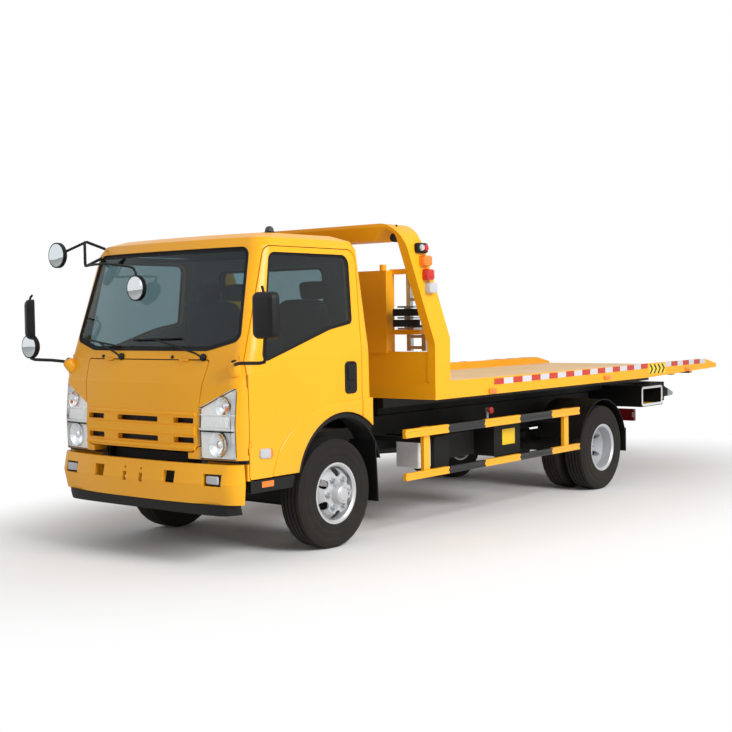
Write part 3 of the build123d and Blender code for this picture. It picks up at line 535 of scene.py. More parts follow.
def skin_of(*names):
    """Search tree over the CAD nodes, to seat a piece on them."""
    verts, faces = [], []
    for name in names:
        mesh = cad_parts[name].data
        start = len(verts)
        verts += [v.co.copy() for v in mesh.vertices]
        faces += [[start + i for i in p.vertices] for p in mesh.polygons]
    return BVHTree.FromPolygons(verts, faces)


# Where the search rays start, well clear of the truck
CLEAR = 2500.0


def on_front(skin, y, z, proud=0.0):
    """Point on the front of the skin at that y and z."""
    start = spot(CLEAR, y, z)
    place = skin.ray_cast(start, Vector((-1, 0, 0)))[0] or skin.find_nearest(start)[0]
    return Vector((place.x + proud * MM, start.y, start.z))


def on_side(skin, x, z, side, proud=0.0):
    """Point on the left or right of the skin at that x and z."""
    start = spot(x, side * CLEAR, z)
    place = skin.ray_cast(start, Vector((0, -side, 0)))[0] or skin.find_nearest(start)[0]
    return Vector((start.x, place.y + side * proud * MM, start.z))


def add_band(bm, outline, section, seat):
    """Closed band round an outline. Section pairs are (inward, proud), and seat puts each on the skin."""
    loops = [[seat(a, b, proud) for a, b in drawn_in(outline, inward)] for inward, proud in section]
    add_rings(bm, loops, close_along=True)


def finish_piece(name, bm, finish, body, smooth=32.0, replaces=()):
    """Turns the shape into a piece that rides on a body."""
    bmesh.ops.recalc_face_normals(bm, faces=bm.faces)
    mesh = bpy.data.meshes.new(name)
    bm.to_mesh(mesh)
    bm.free()
    return dress(name, mesh, finish, body, smooth, replaces)


def dress(name, mesh, finish, body, smooth=32.0, replaces=()):
    """Makes a piece of a mesh, with its finish, its body and the CAD nodes that it stands for."""
    piece = bpy.data.objects.new(name, mesh)
    bpy.context.scene.collection.objects.link(piece)
    mesh.materials.clear()
    mesh.materials.append(FINISH[finish])
    mesh.polygons.foreach_set("use_smooth", [True] * len(mesh.polygons))
    mesh.set_sharp_from_angle(angle=math.radians(smooth))
    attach(piece, body)
    if replaces:
        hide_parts(*replaces)
    return piece


# Repeats by geometry nodes

def new_tree(name, inputs):
    """Geometry tree with named inputs: their sockets come back with it."""
    tree = bpy.data.node_groups.new(name, "GeometryNodeTree")
    for label, kind in (("Geometry", "Geometry"), *inputs, ("Material", "Material")):
        tree.interface.new_socket(label, in_out="INPUT", socket_type=f"NodeSocket{kind}")
    tree.interface.new_socket("Geometry", in_out="OUTPUT", socket_type="NodeSocketGeometry")
    return tree, add_node(tree, "NodeGroupInput").outputs


def spread_on_points(tree, given, shape):
    """Ends a tree: the shape at each point, turned one way, realized and given its material."""
    spread = add_node(tree, "GeometryNodeInstanceOnPoints", None, {
        "Points": given["Geometry"], "Instance": shape, "Rotation": given["Turn"]})
    solid = add_node(tree, "GeometryNodeRealizeInstances", None, {"Geometry": spread.outputs["Instances"]})
    coloured = add_node(tree, "GeometryNodeSetMaterial", None, {
        "Geometry": solid.outputs["Geometry"], "Material": given["Material"]})
    add_node(tree, "NodeGroupOutput", None, {"Geometry": coloured.outputs["Geometry"]})


def fastener_tree():
    """Hexagon heads on washers, one at each point, turned to face one way."""
    tree, given = new_tree("fasteners", (
        ("Radius", "Float"), ("Height", "Float"), ("Washer radius", "Float"), ("Washer height", "Float"),
        ("Turn", "Vector")))
    head = add_node(tree, "GeometryNodeMeshCylinder", None, {
        "Vertices": 6, "Radius": given["Radius"], "Depth": given["Height"]})
    washer = add_node(tree, "GeometryNodeMeshCylinder", None, {
        "Vertices": 18, "Radius": given["Washer radius"], "Depth": given["Washer height"]})
    lift = add_node(tree, "ShaderNodeCombineXYZ", None, {"Z": given["Height"]})
    half = add_node(tree, "ShaderNodeVectorMath", {"operation": "SCALE"}, {
        "Vector": lift.outputs[0], "Scale": 0.5})
    raised = add_node(tree, "GeometryNodeTransform", None, {
        "Geometry": head.outputs["Mesh"], "Translation": half.outputs[0]})
    joined = add_node(tree, "GeometryNodeJoinGeometry", None, {"Geometry": raised.outputs["Geometry"]})
    tree.links.new(washer.outputs["Mesh"], joined.inputs["Geometry"])
    spread_on_points(tree, given, joined.outputs["Geometry"])
    return tree


def plate_tree():
    """Flat plates of one size, one at each point."""
    tree, given = new_tree("plates", (("Size", "Vector"), ("Turn", "Vector")))
    plate = add_node(tree, "GeometryNodeMeshCube", None, {"Size": given["Size"]})
    spread_on_points(tree, given, plate.outputs["Mesh"])
    return tree


def repeat(name, tree, points, values, finish, body):
    """Runs a tree on points and keeps the result as a plain mesh piece."""
    seeds = bpy.data.meshes.new(f"{name}_points")
    seeds.from_pydata([tuple(p) for p in points], [], [])
    maker = bpy.data.objects.new(f"{name}_maker", seeds)
    bpy.context.scene.collection.objects.link(maker)
    modifier = maker.modifiers.new("repeat", "NODES")
    modifier.node_group = tree
    values = {**values, "Material": FINISH[finish]}
    for item in tree.interface.items_tree:
        if item.in_out == "INPUT" and item.name in values:
            modifier[item.identifier] = values[item.name]
    graph = bpy.context.evaluated_depsgraph_get()
    mesh = bpy.data.meshes.new_from_object(maker.evaluated_get(graph))
    maker.modifiers.remove(modifier)
    bpy.data.objects.remove(maker)
    mesh.name = name
    return dress(name, mesh, finish, body)


# Tyres

TREAD_HALF = 84.0
TREAD_EDGE_R = 400.4
CROWN = 4.4
GROOVES = (52.0, 17.5, -17.5, -52.0)
GROOVE_TOP, GROOVE_FLOOR = 5.5, 4.0
RIB_ZIGZAG = 0.9
SHOULDER_NOTCH = 1.2


def tyre_section(step, depth_mm):
    """Tyre outline at one step: (offset, radius), with rib grooves and slight shoulder blocks."""
    zig = RIB_ZIGZAG if step % 2 else -RIB_ZIGZAG
    notch = SHOULDER_NOTCH if step % 4 < 2 else 0.0
    wall = [
        (88, 214), (97, 219), (101, 228), (103, 240), (106, 256), (106.5, 270), (105, 273), (105, 279),
        (106.8, 282), (107, 300), (106, 318), (104, 322), (103.5, 340), (104.5, 343), (103, 356),
        (99, 371 - notch * 0.5), (93, 386 - notch), (86, 397 - notch)]
    tread = [(TREAD_HALF, TREAD_EDGE_R - notch)]
    for groove in GROOVES:
        for offset, drop in (
                (GROOVE_TOP, 0.0), (GROOVE_FLOOR, depth_mm), (-GROOVE_FLOOR, depth_mm), (-GROOVE_TOP, 0.0)):
            a = groove + zig + offset
            tread.append((a, TYRE_R - CROWN * (a / TREAD_HALF) ** 2 - drop))
    tread.append((-TREAD_HALF, TREAD_EDGE_R - notch))
    return wall + tread + [(-a, r) for a, r in reversed(wall)]


def add_tyre(bm, centre, steps, depth_mm):
    rows = []
    for i in range(steps):
        angle = 2 * math.pi * i / steps
        rows.append([centre + Vector((math.cos(angle) * r, a, math.sin(angle) * r)) * MM
                     for a, r in tyre_section(i, depth_mm)])
    add_rings(bm, rows, close_along=True)


class TRUCK_OT_finishes(bpy.types.Operator):
    """Make the finishes and put them on the CAD nodes"""
    bl_idname = "truck.finishes"
    bl_label = "Finishes"

    def execute(self, context):
        colours = context.scene.truck_colours
        make_paints(colours.paint)
        make_blacks()
        make_metals(colours.deck)
        make_glass()
        make_lenses(colours.amber, colours.red)
        make_tapes(colours.tape_red, colours.tape_white)
        make_small_finishes()
        for finish, names in NODE_FINISH.items():
            for name in names:
                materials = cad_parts[name].data.materials
                materials.clear()
                materials.append(FINISH[finish])
        return {"FINISHED"}


class TRUCK_OT_tyres(bpy.types.Operator):
    """Tyres with rib tread in place of the plain ones"""
    bl_idname = "truck.tyres"
    bl_label = "Tyres"

    def execute(self, context):
        sizes = context.scene.truck_sizes
        depth = sizes.groove_depth / MM
        twin = (TWIN_OUTER_Y, TWIN_OUTER_Y - TWIN_SPACING)
        # Piece, wheels, CAD node, x and each y
        rows = (
            ("rib_tyre_front", "front_wheel", "front_tyre", 0, (FRONT_WHEEL_Y,)),
            ("rib_tyres_rear", "rear_wheels", "rear_tyres", -WHEELBASE, twin),
        )
        for name, side in SIDES:
            for piece, body, node, x, places in rows:
                bm = bmesh.new()
                for y in places:
                    add_tyre(bm, spot(x, side * y, TYRE_R), sizes.tread_steps, depth)
                finish_piece(f"{piece}_{name}", bm, "tyre_rubber", f"{body}_{name}", 40, (f"{node}_{name}",))
        return {"FINISHED"}


class TRUCK_OT_wheel_hardware(bpy.types.Operator):
    """Wheel nuts, hub caps and valves"""
    bl_idname = "truck.wheel_hardware"
    bl_label = "Wheel hardware"

    def execute(self, context):
        sizes = context.scene.truck_sizes
        tree = fastener_tree()
        circle = sizes.nut_circle / MM
        nut = {"Radius": sizes.nut_radius, "Height": 0.026, "Washer radius": 0.026, "Washer height": 0.008}
        bolt = {"Radius": 0.010, "Height": 0.010, "Washer radius": 0.013, "Washer height": 0.004}
        # Piece, wheels, x, y of the seats, radius of the circle, count and fastener
        rows = (
            ("front_nuts", "front_wheel", 0, FRONT_WHEEL_Y + 118, circle, 6, nut),
            ("rear_nuts", "rear_wheels", -WHEELBASE, TWIN_OUTER_Y - 113, circle, 6, nut),
            ("axle_bolts", "rear_wheels", -WHEELBASE, TWIN_OUTER_Y - TWIN_SPACING / 2 + 102, 54, 8, bolt),
        )
        cap = ((-4, 56), (3, 56), (7, 50), (14, 44), (17, 30), (18, 0))
        valve_angle, valve_circle, valve_length = 0.6, 185, 35
        ahead, up = Vector((1, 0, 0)), Vector((0, 0, 1))
        for name, side in SIDES:
            for piece, body, x, y, radius, count, fastener in rows:
                seats = ring_points(spot(x, side * y, TYRE_R), ahead, up, radius, count)
                values = {**fastener, "Turn": (-side * math.pi / 2, 0, 0)}
                repeat(f"{piece}_{name}", tree, seats, values, "zinc_plate", f"{body}_{name}")
            bm = bmesh.new()
            add_turned(bm, cap, spot(0, side * (FRONT_WHEEL_Y + 160), TYRE_R), (0, side, 0), 36)
            foot = spot(valve_circle * math.cos(valve_angle), side * (FRONT_WHEEL_Y + 60),
                        TYRE_R + valve_circle * math.sin(valve_angle))
            add_tube(bm, [foot, foot + Vector((0, side * valve_length * MM, 0))], 5)
            finish_piece(f"hub_cap_{name}", bm, "wheel_silver", f"front_wheel_{name}")
        return {"FINISHED"}


class TRUCK_OT_glazing(bpy.types.Operator):
    """Rubber seals and black bands round the windows"""
    bl_idname = "truck.glazing"
    bl_label = "Window seals"

    def execute(self, context):
        width = context.scene.truck_sizes.seal_width / MM
        longest = 60
        skin = skin_of("cab_front", "cab_roof", "cab_glass", "front_panel")
        outline = divided(rounded(WINDSCREEN, WINDSCREEN_RADII), longest)
        sections = {
            "windscreen_seal": (
                (-3, -6), (-3, 2), (-1, 4), (4, 4), (width - 8, 3), (width - 5, 1), (width - 5, -4),
                (4, -6)),
            "windscreen_band": ((width - 7, -2), (width - 7, 1), (width + 10, 1), (width + 10, -2)),
        }
        for name, section in sections.items():
            bm = bmesh.new()
            add_band(bm, outline, section, lambda y, z, proud: on_front(skin, y, z, proud))
            finish_piece(name, bm, "seal_rubber", "cab")
        bm = bmesh.new()
        add_band(bm, divided(rounded(REAR_WINDOW, 60), longest), ((-2, -4), (12, -4), (12, 58), (-2, 58)),
                 lambda y, z, deep: spot(deep + CAB_BACK_X + (z - SILL_Z) * CAB_BACK_LEAN, y, z))
        finish_piece("rear_window_seal", bm, "seal_rubber", "cab")
        outline = divided(rounded(DOOR_WINDOW, DOOR_WINDOW_RADII), longest)
        section = ((-5, -5), (-5, 2), (-2, 4), (6, 3), (width - 4, 2), (width, 0), (width, -4), (6, -6))
        for name, side in SIDES:
            door = skin_of(f"door_{name}", f"door_glass_{name}")
            bm = bmesh.new()
            add_band(bm, outline, section, lambda x, z, proud: on_side(door, x, z, side, proud))
            finish_piece(f"door_window_seal_{name}", bm, "seal_rubber", f"{name}_door")
        return {"FINISHED"}


class TRUCK_OT_wipers(bpy.types.Operator):
    """Wiper arms, blades and washer nozzles"""
    bl_idname = "truck.wipers"
    bl_label = "Wipers"

    def execute(self, context):
        skin = skin_of("cab_front", "cab_glass", "front_panel")
        bm = bmesh.new()
        steps = 12
        pivot_z, elbow_z, nozzle_z = 1432, 1462, 1434
        cap = ((-4, 26), (14, 26), (24, 18), (30, 0))
        nozzle = ((-3, 12), (8, 12), (12, 7), (13, 0))
        # Pivot y, blade start y, blade end y, blade height at start and end
        rows = ((589, 330, -149, 1566, 1556), (-243, -300, -760, 1508, 1560))
        for pivot_y, start_y, end_y, start_z, end_z in rows:
            pivot = on_front(skin, pivot_y, pivot_z)
            add_turned(bm, cap, pivot, (1, 0, 0.3), 20)
            elbow = on_front(skin, pivot_y - 60, elbow_z, 26)
            holder = on_front(skin, (start_y + end_y) / 2, (start_z + end_z) / 2, 34)
            add_tube(bm, [pivot + Vector((0.022, 0, 0.004)), elbow, holder], 7, 8)
            line = []
            for k in range(steps + 1):
                t = k / steps
                line.append((start_y + (end_y - start_y) * t, start_z + (end_z - start_z) * t))
            # Rubber blade and the spine that carries it: proud, radius, sides
            for proud, radius, sides in ((6, 5, 6), (18, 6, 8)):
                add_tube(bm, [on_front(skin, y, z, proud) for y, z in line], radius, sides)
        for y in (297, -464):
            add_turned(bm, nozzle, on_front(skin, y, nozzle_z), (1, 0, 0.4), 14)
        finish_piece("wipers", bm, "moulded_black", "cab")
        return {"FINISHED"}


class TRUCK_OT_door_trim(bpy.types.Operator):
    """Door handles and side turn lamps"""
    bl_idname = "truck.door_trim"
    bl_label = "Door trim"

    def execute(self, context):
        surround = rounded(((-214, 1134), (-74, 1134), (-74, 1368), (-214, 1368)), 30)
        section = ((0, 955), (0, 962), (4, 965), (12, 962), (40, 958), (40, 950))
        lock = ((0, 17), (9, 17), (11, 14), (11, 0))
        lamp = rounded(((704, 736), (844, 740), (838, 812), (712, 806)), 26)
        for name, side in SIDES:
            body = f"{name}_door"
            bm = bmesh.new()
            add_band(bm, surround, section, lambda x, z, y: spot(x, side * y, z))
            add_block(bm, (-207, -81), (side * 956, side * 961), (1141, 1361), 1)
            add_block(bm, (-192, -108), (side * 952, side * 972), (1228, 1352), 10, 3)
            add_turned(bm, lock, spot(-140, side * 954, 1178), (0, side, 0), 20)
            finish_piece(f"door_handle_{name}", bm, "moulded_black", body)
            skin = skin_of(f"door_{name}")
            bm = bmesh.new()
            add_rings(bm, [[on_side(skin, x, z, side, proud) for x, z in drawn_in(lamp, inset)]
                           for inset, proud in ((0, -4), (3, 12), (14, 17))])
            finish_piece(f"side_turn_lamp_{name}", bm, "turn_lens", body)
        return {"FINISHED"}


def add_lamp_plate(bm, skin, side, corners, back, face, longest=40):
    """Plate inside a headlamp that follows the lens, between two depths."""
    outline = divided([(side * y, z) for y, z in corners], longest)
    add_rings(bm, [[on_front(skin, y, z, depth) for y, z in outline] for depth in (back, face)])


class TRUCK_OT_headlamps(bpy.types.Operator):
    """Reflectors, ribs and bulbs inside the headlamps"""
    bl_idname = "truck.headlamps"
    bl_label = "Headlamps"

    def execute(self, context):
        skin = skin_of("headlamps")
        rib_count, rib_start, rib_pitch, rib_half, rib_depth = 17, 650, 12, 4, 16
        rib_low, rib_high = 962, 1034
        for name, side in SIDES:
            shell, bright, amber, dark = (bmesh.new() for _ in range(4))
            add_lamp_plate(shell, skin, side, drawn_in(rounded(HEADLAMP, HEADLAMP_RADII), 5), -46, -36)
            # Bowls: y, z, radius, bulb radius
            for y, z, radius, bulb in ((757, 845, 80, 26), (795, 1104, 60, 18)):
                place = on_front(skin, side * y, z, -34)
                bowl = ((0, bulb), (3, radius * 0.5), (10, radius * 0.82), (22, radius), (23, radius + 5),
                        (18, radius + 8), (-4, radius + 8), (-4, bulb))
                add_turned(bright, bowl, place, (1, 0, 0), 36)
                add_turned(bright, ((-2, bulb), (6, bulb), (12, bulb * 0.7), (14, 0)), place, (1, 0, 0), 20)
            add_turned(amber, ((-2, 15), (10, 16), (20, 11), (23, 0)),
                       on_front(skin, side * 836, 1085, -28), (1, 0, 0), 18)
            # Ribbed band between the bowls, with a bar under and over it
            for i in range(rib_count):
                y = rib_start + i * rib_pitch
                x = on_front(skin, side * y, 997, -34).x / MM - FRONT_AXLE_X
                add_block(shell, (x, x + rib_depth), (side * (y - rib_half), side * (y + rib_half)),
                          (rib_low, rib_high), 2)
            for low, high in ((944, 952), (1042, 1048)):
                bar = ((606, low), (894, low), (894, high), (606, high))
                add_lamp_plate(shell, skin, side, bar, -38, -10, 30)
            add_lamp_plate(dark, skin, side, ((612, 928), (888, 928), (888, 936), (612, 936)), -38, -8)
            add_lamp_plate(bright, skin, side, ((866, 760), (894, 760), (894, 1206), (866, 1190)), -36, -14)
            finish_piece(f"headlamp_shell_{name}", shell, "satin_housing", "cab")
            finish_piece(f"headlamp_reflectors_{name}", bright, "bright_reflector", "cab", 50)
            finish_piece(f"headlamp_bulb_{name}", amber, "amber_lens", "cab")
            finish_piece(f"headlamp_seam_{name}", dark, "moulded_black", "cab")
        return {"FINISHED"}


class TRUCK_OT_fog_lamps(bpy.types.Operator):
    """Oblong fog lamps, brought forward in the bumper's openings"""
    bl_idname = "truck.fog_lamps"
    bl_label = "Fog lamps"

    def execute(self, context):
        # Piece, finish, x, y and z limits, rounding
        rows = (
            ("fog_housing", "moulded_black", (1050, 1078), (676, 820), (569, 645), 8),
            ("fog_lens", "white_lens", (1060, 1088), (688, 808), (578, 636), 12),
        )
        for name, side in SIDES:
            for piece, finish, x, (y0, y1), z, bevel in rows:
                bm = bmesh.new()
                add_block(bm, x, (side * y0, side * y1), z, bevel, 3)
                finish_piece(f"{piece}_{name}", bm, finish, "chassis")
        return {"FINISHED"}


class TRUCK_OT_grille(bpy.types.Operator):
    """Black backing behind the slots of the front panel, as painted shade of the space behind them, and the
    bars between them
    """
    bl_idname = "truck.grille"
    bl_label = "Grille"

    def execute(self, context):
        skin = skin_of("front_panel")
        # How far the backing lies behind the panel and reaches past a slot, and its thickness
        behind, past_y, past_z, thickness = 45.5, 20, 22, 6
        bm = bmesh.new()
        for low, high in GRILLE_ROWS:
            for y0, y1 in GRILLE_SLOTS:
                x = on_front(skin, (y0 + y1) / 2, high + 12, -behind).x / MM - FRONT_AXLE_X
                add_block(bm, (x - thickness, x), (y0 - past_y, y1 + past_y),
                          (low - past_z, high + past_z), 1)
        finish_piece("grille_backing", bm, "moulded_black", "front_lid")
        bm = bmesh.new()
        for low, high in GRILLE_BARS:
            section = ((low, -3), (low, 3), (low + 8, 13), (high - 8, 13), (high, 3), (high, -3))
            places = [GRILLE_HALF * (i / 12 - 1) for i in range(25)]
            add_rings(bm, [[on_front(skin, y, z, proud) for z, proud in section] for y in places])
        finish_piece("grille_bars", bm, "cab_enamel", "front_lid")
        return {"FINISHED"}


class TRUCK_OT_arch_flares(bpy.types.Operator):
    """Raised flares round the front wheel arches and the black lips inside them"""
    bl_idname = "truck.arch_flares"
    bl_label = "Arch flares"

    def execute(self, context):
        crown = rounded((
            (FLARE_FRONT_X, FLARE_FOOT_Z), (640, 790), (498, 925), (330, 1020), (100, 1080),
            (FLARE_BACK_X, 1090)), (0, 300, 300, 300, 500, 0))
        edge = ((DOOR_SKIN_Y, 0), (962, 0), (966, 4), (967, 8))
        for name, side in SIDES:
            rows = (
                ("door", FLARE_FRONT_X, DOOR_SEAM_X + DOOR_SEAM_GAP, f"{name}_door"),
                ("rear", DOOR_SEAM_X - DOOR_SEAM_GAP, FLARE_BACK_X, "cab"),
            )
            for piece, first, last, body in rows:
                upper = [(x, z) for x, z in crown if last <= x <= first]
                arc = []
                for i in range(25):
                    x = last + (min(first, 446) - last) * i / 24
                    z = ARCH_Z + math.sqrt(ARCH_R ** 2 - (x - ARCH_X) ** 2) + 0.5
                    arc.append((x, max(z, FLARE_FOOT_Z)))
                if piece == "door":
                    outline = upper + [(last, 1086)] + arc
                else:
                    outline = [(first, 1087)] + upper + arc
                bm = bmesh.new()
                add_rings(bm, [[spot(x, side * y, z) for x, z in drawn_in(outline, inset)]
                               for y, inset in edge])
                finish_piece(f"arch_flare_{piece}_{name}", bm, "cab_enamel", body)
        # Section of the lip: radius, y
        lip = ((516, 880), (516, 946), (510, 950), (480, 944), (474, 936), (474, 880))
        bm = bmesh.new()
        for side in (1, -1):
            rings = []
            for i in range(33):
                a = math.radians(14 + 118 * i / 32)
                rings.append([spot(ARCH_X + r * math.cos(a), side * y, ARCH_Z + r * math.sin(a))
                              for r, y in lip])
            add_rings(bm, rings)
        finish_piece("arch_lips", bm, "moulded_black", "cab")
        return {"FINISHED"}


class TRUCK_OT_roof_marker(bpy.types.Operator):
    """Small marker lamp on the roof"""
    bl_idname = "truck.roof_marker"
    bl_label = "Roof marker"

    def execute(self, context):
        place = skin_of("cab_roof").ray_cast(spot(428, 700, 2600), Vector((0, 0, -1)))[0]
        # Piece, finish and profile
        rows = (
            ("roof_marker_base", "moulded_black", ((-6, 40), (10, 40), (14, 34), (14, 0))),
            ("roof_marker", "dash_grey", ((13, 32), (30, 31), (44, 24), (52, 12), (54, 0))),
        )
        for name, finish, profile in rows:
            bm = bmesh.new()
            add_turned(bm, profile, place, (0, 0, 1), 28)
            finish_piece(name, bm, finish, "cab")
        return {"FINISHED"}


class TRUCK_OT_air_dam(bpy.types.Operator):
    """Air dam under the bumper, its ends rounded"""
    bl_idname = "truck.air_dam"
    bl_label = "Air dam"

    def execute(self, context):
        thickness = 22
        plan = [(930, -866), (990, -862), (1040, -836), (1072, -780), (1086, -690), (1094, -480), (1095, 0)]
        plan += [(x, -y) for x, y in reversed(plan[:-1])]
        # Section: shift along x, share of the thickness inward, z
        section = ((-16, 0, 362), (-2, 0, 408), (0, 0, 438), (0, 1, 438), (-16, 1, 362))
        rows = []
        for i, (x, y) in enumerate(plan):
            run = Vector(plan[min(i + 1, len(plan) - 1)]) - Vector(plan[max(i - 1, 0)])
            back = Vector((-run.y, run.x)).normalized() * thickness
            rows.append([spot(x + dx + back.x * inward, y + back.y * inward, z)
                         for dx, inward, z in section])
        bm = bmesh.new()
        add_rings(bm, rows)
        for side in (1, -1):
            add_block(bm, (940, 1072), (side * 396, side * 420), (400, 500), 2)
        finish_piece("air_dam_lip", bm, "moulded_black", "chassis", replaces=("air_dam",))
        return {"FINISHED"}


class TRUCK_OT_mirrors(bpy.types.Operator):
    """Mirror arms, rounded heads, glasses and convex mirrors"""
    bl_idname = "truck.mirrors"
    bl_label = "Mirrors"

    def execute(self, context):
        black, glass, boss = bmesh.new(), bmesh.new(), bmesh.new()
        head = rounded(rectangle(206, 306), 46)
        pane = rounded(rectangle(184, 280), 36)
        # Depth and inset of each ring
        head_steps = ((-35, 8), (-35, 0), (6, 0), (22, 8), (31, 24), (35, 46))
        pane_steps = ((-33, 0), (-36, 0), (-37, 3))
        arm = ((985, 880, 1385), (1035, 960, 1396), (1060, 1010, 1401), (1071, 1200, 1404),
               (1072, 1244, 1412), (1072, 1256, 1440), (1072, 1256, 1580))
        foot = ((0, 22), (12, 30), (26, 30), (38, 22), (44, 0))
        dome = ((0, 45), (66, 45), (84, 36), (92, 18), (93, 0))
        stub = ((1072, 1250, 1860), (1070, 1240, 1886), (1062, 1226, 1902))
        # Side and the angle that its head is turned by
        for side, angle in ((1, -4), (-1, -33)):
            turn = Matrix.Rotation(math.radians(angle), 4, "Z")
            centre = spot(1072, side * 1256, 1715)
            for form, outline, steps in ((black, head, head_steps), (glass, pane, pane_steps)):
                add_rings(form, [
                    [centre + turn @ (Vector((depth, a, b)) * MM) for a, b in drawn_in(outline, inset)]
                    for depth, inset in steps])
            add_tube(black, [spot(x, side * y, z) for x, y, z in arm], 12, 14)
            add_turned(black, foot, spot(985, side * 868, 1388), (0.2, side, 0.1), 20)
            add_turned(boss, dome, spot(960, side * 870, 1330), (50, side * 20, 75), 28)
            add_tube(black, [spot(x, side * y, z) for x, y, z in stub], 9, 10)
        # Bars of the right corner: radius and points
        bars = (
            (11, ((700, -790, 2250), (880, -781, 2296), (897, -780, 2294), (900, -780, 2276),
                  (900, -780, 2134), (897, -780, 2114), (880, -782, 2116), (720, -800, 2180))),
            (10, ((900, -780, 2290), (925, -1050, 2215))),
            (9, ((900, -780, 2115), (945, -560, 2119), (958, -500, 2120), (950, -420, 2113),
                 (936, -240, 2090), (930, -190, 2076), (922, -174, 2040), (915, -170, 1960))),
        )
        for radius, points in bars:
            add_tube(black, [spot(*p) for p in points], radius, 12)
        # Round mirrors: x, y, z, radius, half depth
        for x, y, z, radius, half in (
                (1062, -1256, 1505, 92, 25), (935, -1060, 2205, 98, 22), (915, -170, 1930, 94, 22)):
            shell = ((-half, 0), (-half, radius * 0.6), (-half + 2, radius * 0.86), (-half + 14, radius),
                     (half - 2, radius), (half, radius - 4), (half, 0))
            lens = ((half - 2, 0), (half - 1, radius - 7), (half + 5, radius * 0.72),
                    (half + 9, radius * 0.38), (half + 10, 0))
            for form, profile in ((black, shell), (glass, lens)):
                add_turned(form, profile, spot(x, y, z), (1, 0, 0), 40)
        finish_piece("mirror_heads", black, "moulded_black", "cab", replaces=("mirrors",))
        finish_piece("mirror_glasses", glass, "mirror_glass", "cab")
        finish_piece("mirror_bosses", boss, "cab_enamel", "cab")
        return {"FINISHED"}


class TRUCK_OT_arch_lamps(bpy.types.Operator):
    """Lamp clusters and work lights on the headboard arch"""
    bl_idname = "truck.arch_lamps"
    bl_label = "Arch lamps"

    def execute(self, context):
        forms = {row[0]: bmesh.new() for row in ARCH_LAMPS}
        work_light = ((0, 0), (0, 26), (14, 34), (80, 34), (80, 30), (74, 28), (73, 0))
        bulb = ((0, 26), (10, 26), (20, 20), (25, 0))
        for side in (1, -1):
            add_turned(forms["moulded_black"], work_light, spot(-720, side * 992, 2300), (1, 0, 0), 32)
            add_tube(forms["moulded_black"], [spot(-680, side * 992, z) for z in (2330, 2400)], 8, 10)
            for finish, x, z, wide, high, deep in ARCH_LAMPS:
                outline = rounded(rectangle(wide, high), 24)
                add_rings(forms[finish], [
                    [spot(x + a, side * (BED_HALF + out), z + b) for a, b in drawn_in(outline, inset)]
                    for out, inset in ((0, 0), (deep * 0.7, 0), (deep * 0.92, 5), (deep, 14))])
            for finish, x in (("white_lens", -795), ("red_lens", -848)):
                add_turned(forms[finish], bulb, spot(x, side * (BED_HALF + 30), 2222), (0, side, 0), 24)
        for finish, form in forms.items():
            replaces = ("arch_lamps",) if finish == "moulded_black" else ()
            finish_piece(f"arch_{finish}", form, finish, "bed", replaces=replaces)
        return {"FINISHED"}


class TRUCK_OT_bed_marks(bpy.types.Operator):
    """Reflective tape, arrow panels and side marker lamps on the bed rails"""
    bl_idname = "truck.bed_marks"
    bl_label = "Bed marks"

    def execute(self, context):
        sizes = context.scene.truck_sizes
        tree = plate_tree()
        pitch = sizes.tape_pitch / MM
        plate = {"Size": (sizes.tape_pitch * 0.985, 0.0016, sizes.tape_height), "Turn": (0, 0, 0)}
        long_start, long_count, short_start, short_count, short_pitch = -1842, 19, -5108, 7, 141
        # Height of the long run at one place, its rise to the rear and the height of the short run
        long_z, long_z_at, long_rise, short_z = 1139, -1918, 0.0075, 1161
        for name, side in SIDES:
            y = side * (BED_HALF + 0.4)
            reds, whites = [], []
            # Long run ahead of the arrows, which rises a little to the rear, and short run behind them
            for i in range(long_count):
                x = long_start - pitch * (i + 0.5)
                (whites if i % 2 else reds).append(spot(x, y, long_z - (x - long_z_at) * long_rise))
            for i in range(short_count):
                (reds if i % 2 else whites).append(spot(short_start - short_pitch * (i + 0.5), y, short_z))
            repeat(f"tape_red_{name}", tree, reds, plate, "tape_red", "bed")
            repeat(f"tape_white_{name}", tree, whites, plate, "tape_white", "bed")
            panel, marks, lamps = bmesh.new(), bmesh.new(), bmesh.new()
            add_block(panel, (-4725, -5095), (side * BED_HALF, side * (BED_HALF + 1.4)), (1073, 1176),
                      0.4, 1)
            for i in range(4):
                x = -4732 - i * 90
                arrow = ((x, 1173), (x - 36, 1173), (x - 84, 1125), (x - 36, 1076), (x, 1076),
                         (x - 48, 1125))
                add_prism(marks, [spot(a, side * (BED_HALF + 1.2), b) for a, b in arrow], (0, side * 1.0, 0))
            for x, z in ((-1812, 1063), (-3816, 1082), (-5633, 1089)):
                add_block(lamps, (x - 56, x + 56), (side * (BED_HALF - 2), side * (BED_HALF + 16)),
                          (z - 20, z + 20), 7, 3)
            finish_piece(f"arrow_panel_{name}", panel, "chevron_yellow", "bed")
            finish_piece(f"arrow_marks_{name}", marks, "chevron_black", "bed")
            finish_piece(f"side_markers_{name}", lamps, "amber_lens", "bed")
        return {"FINISHED"}


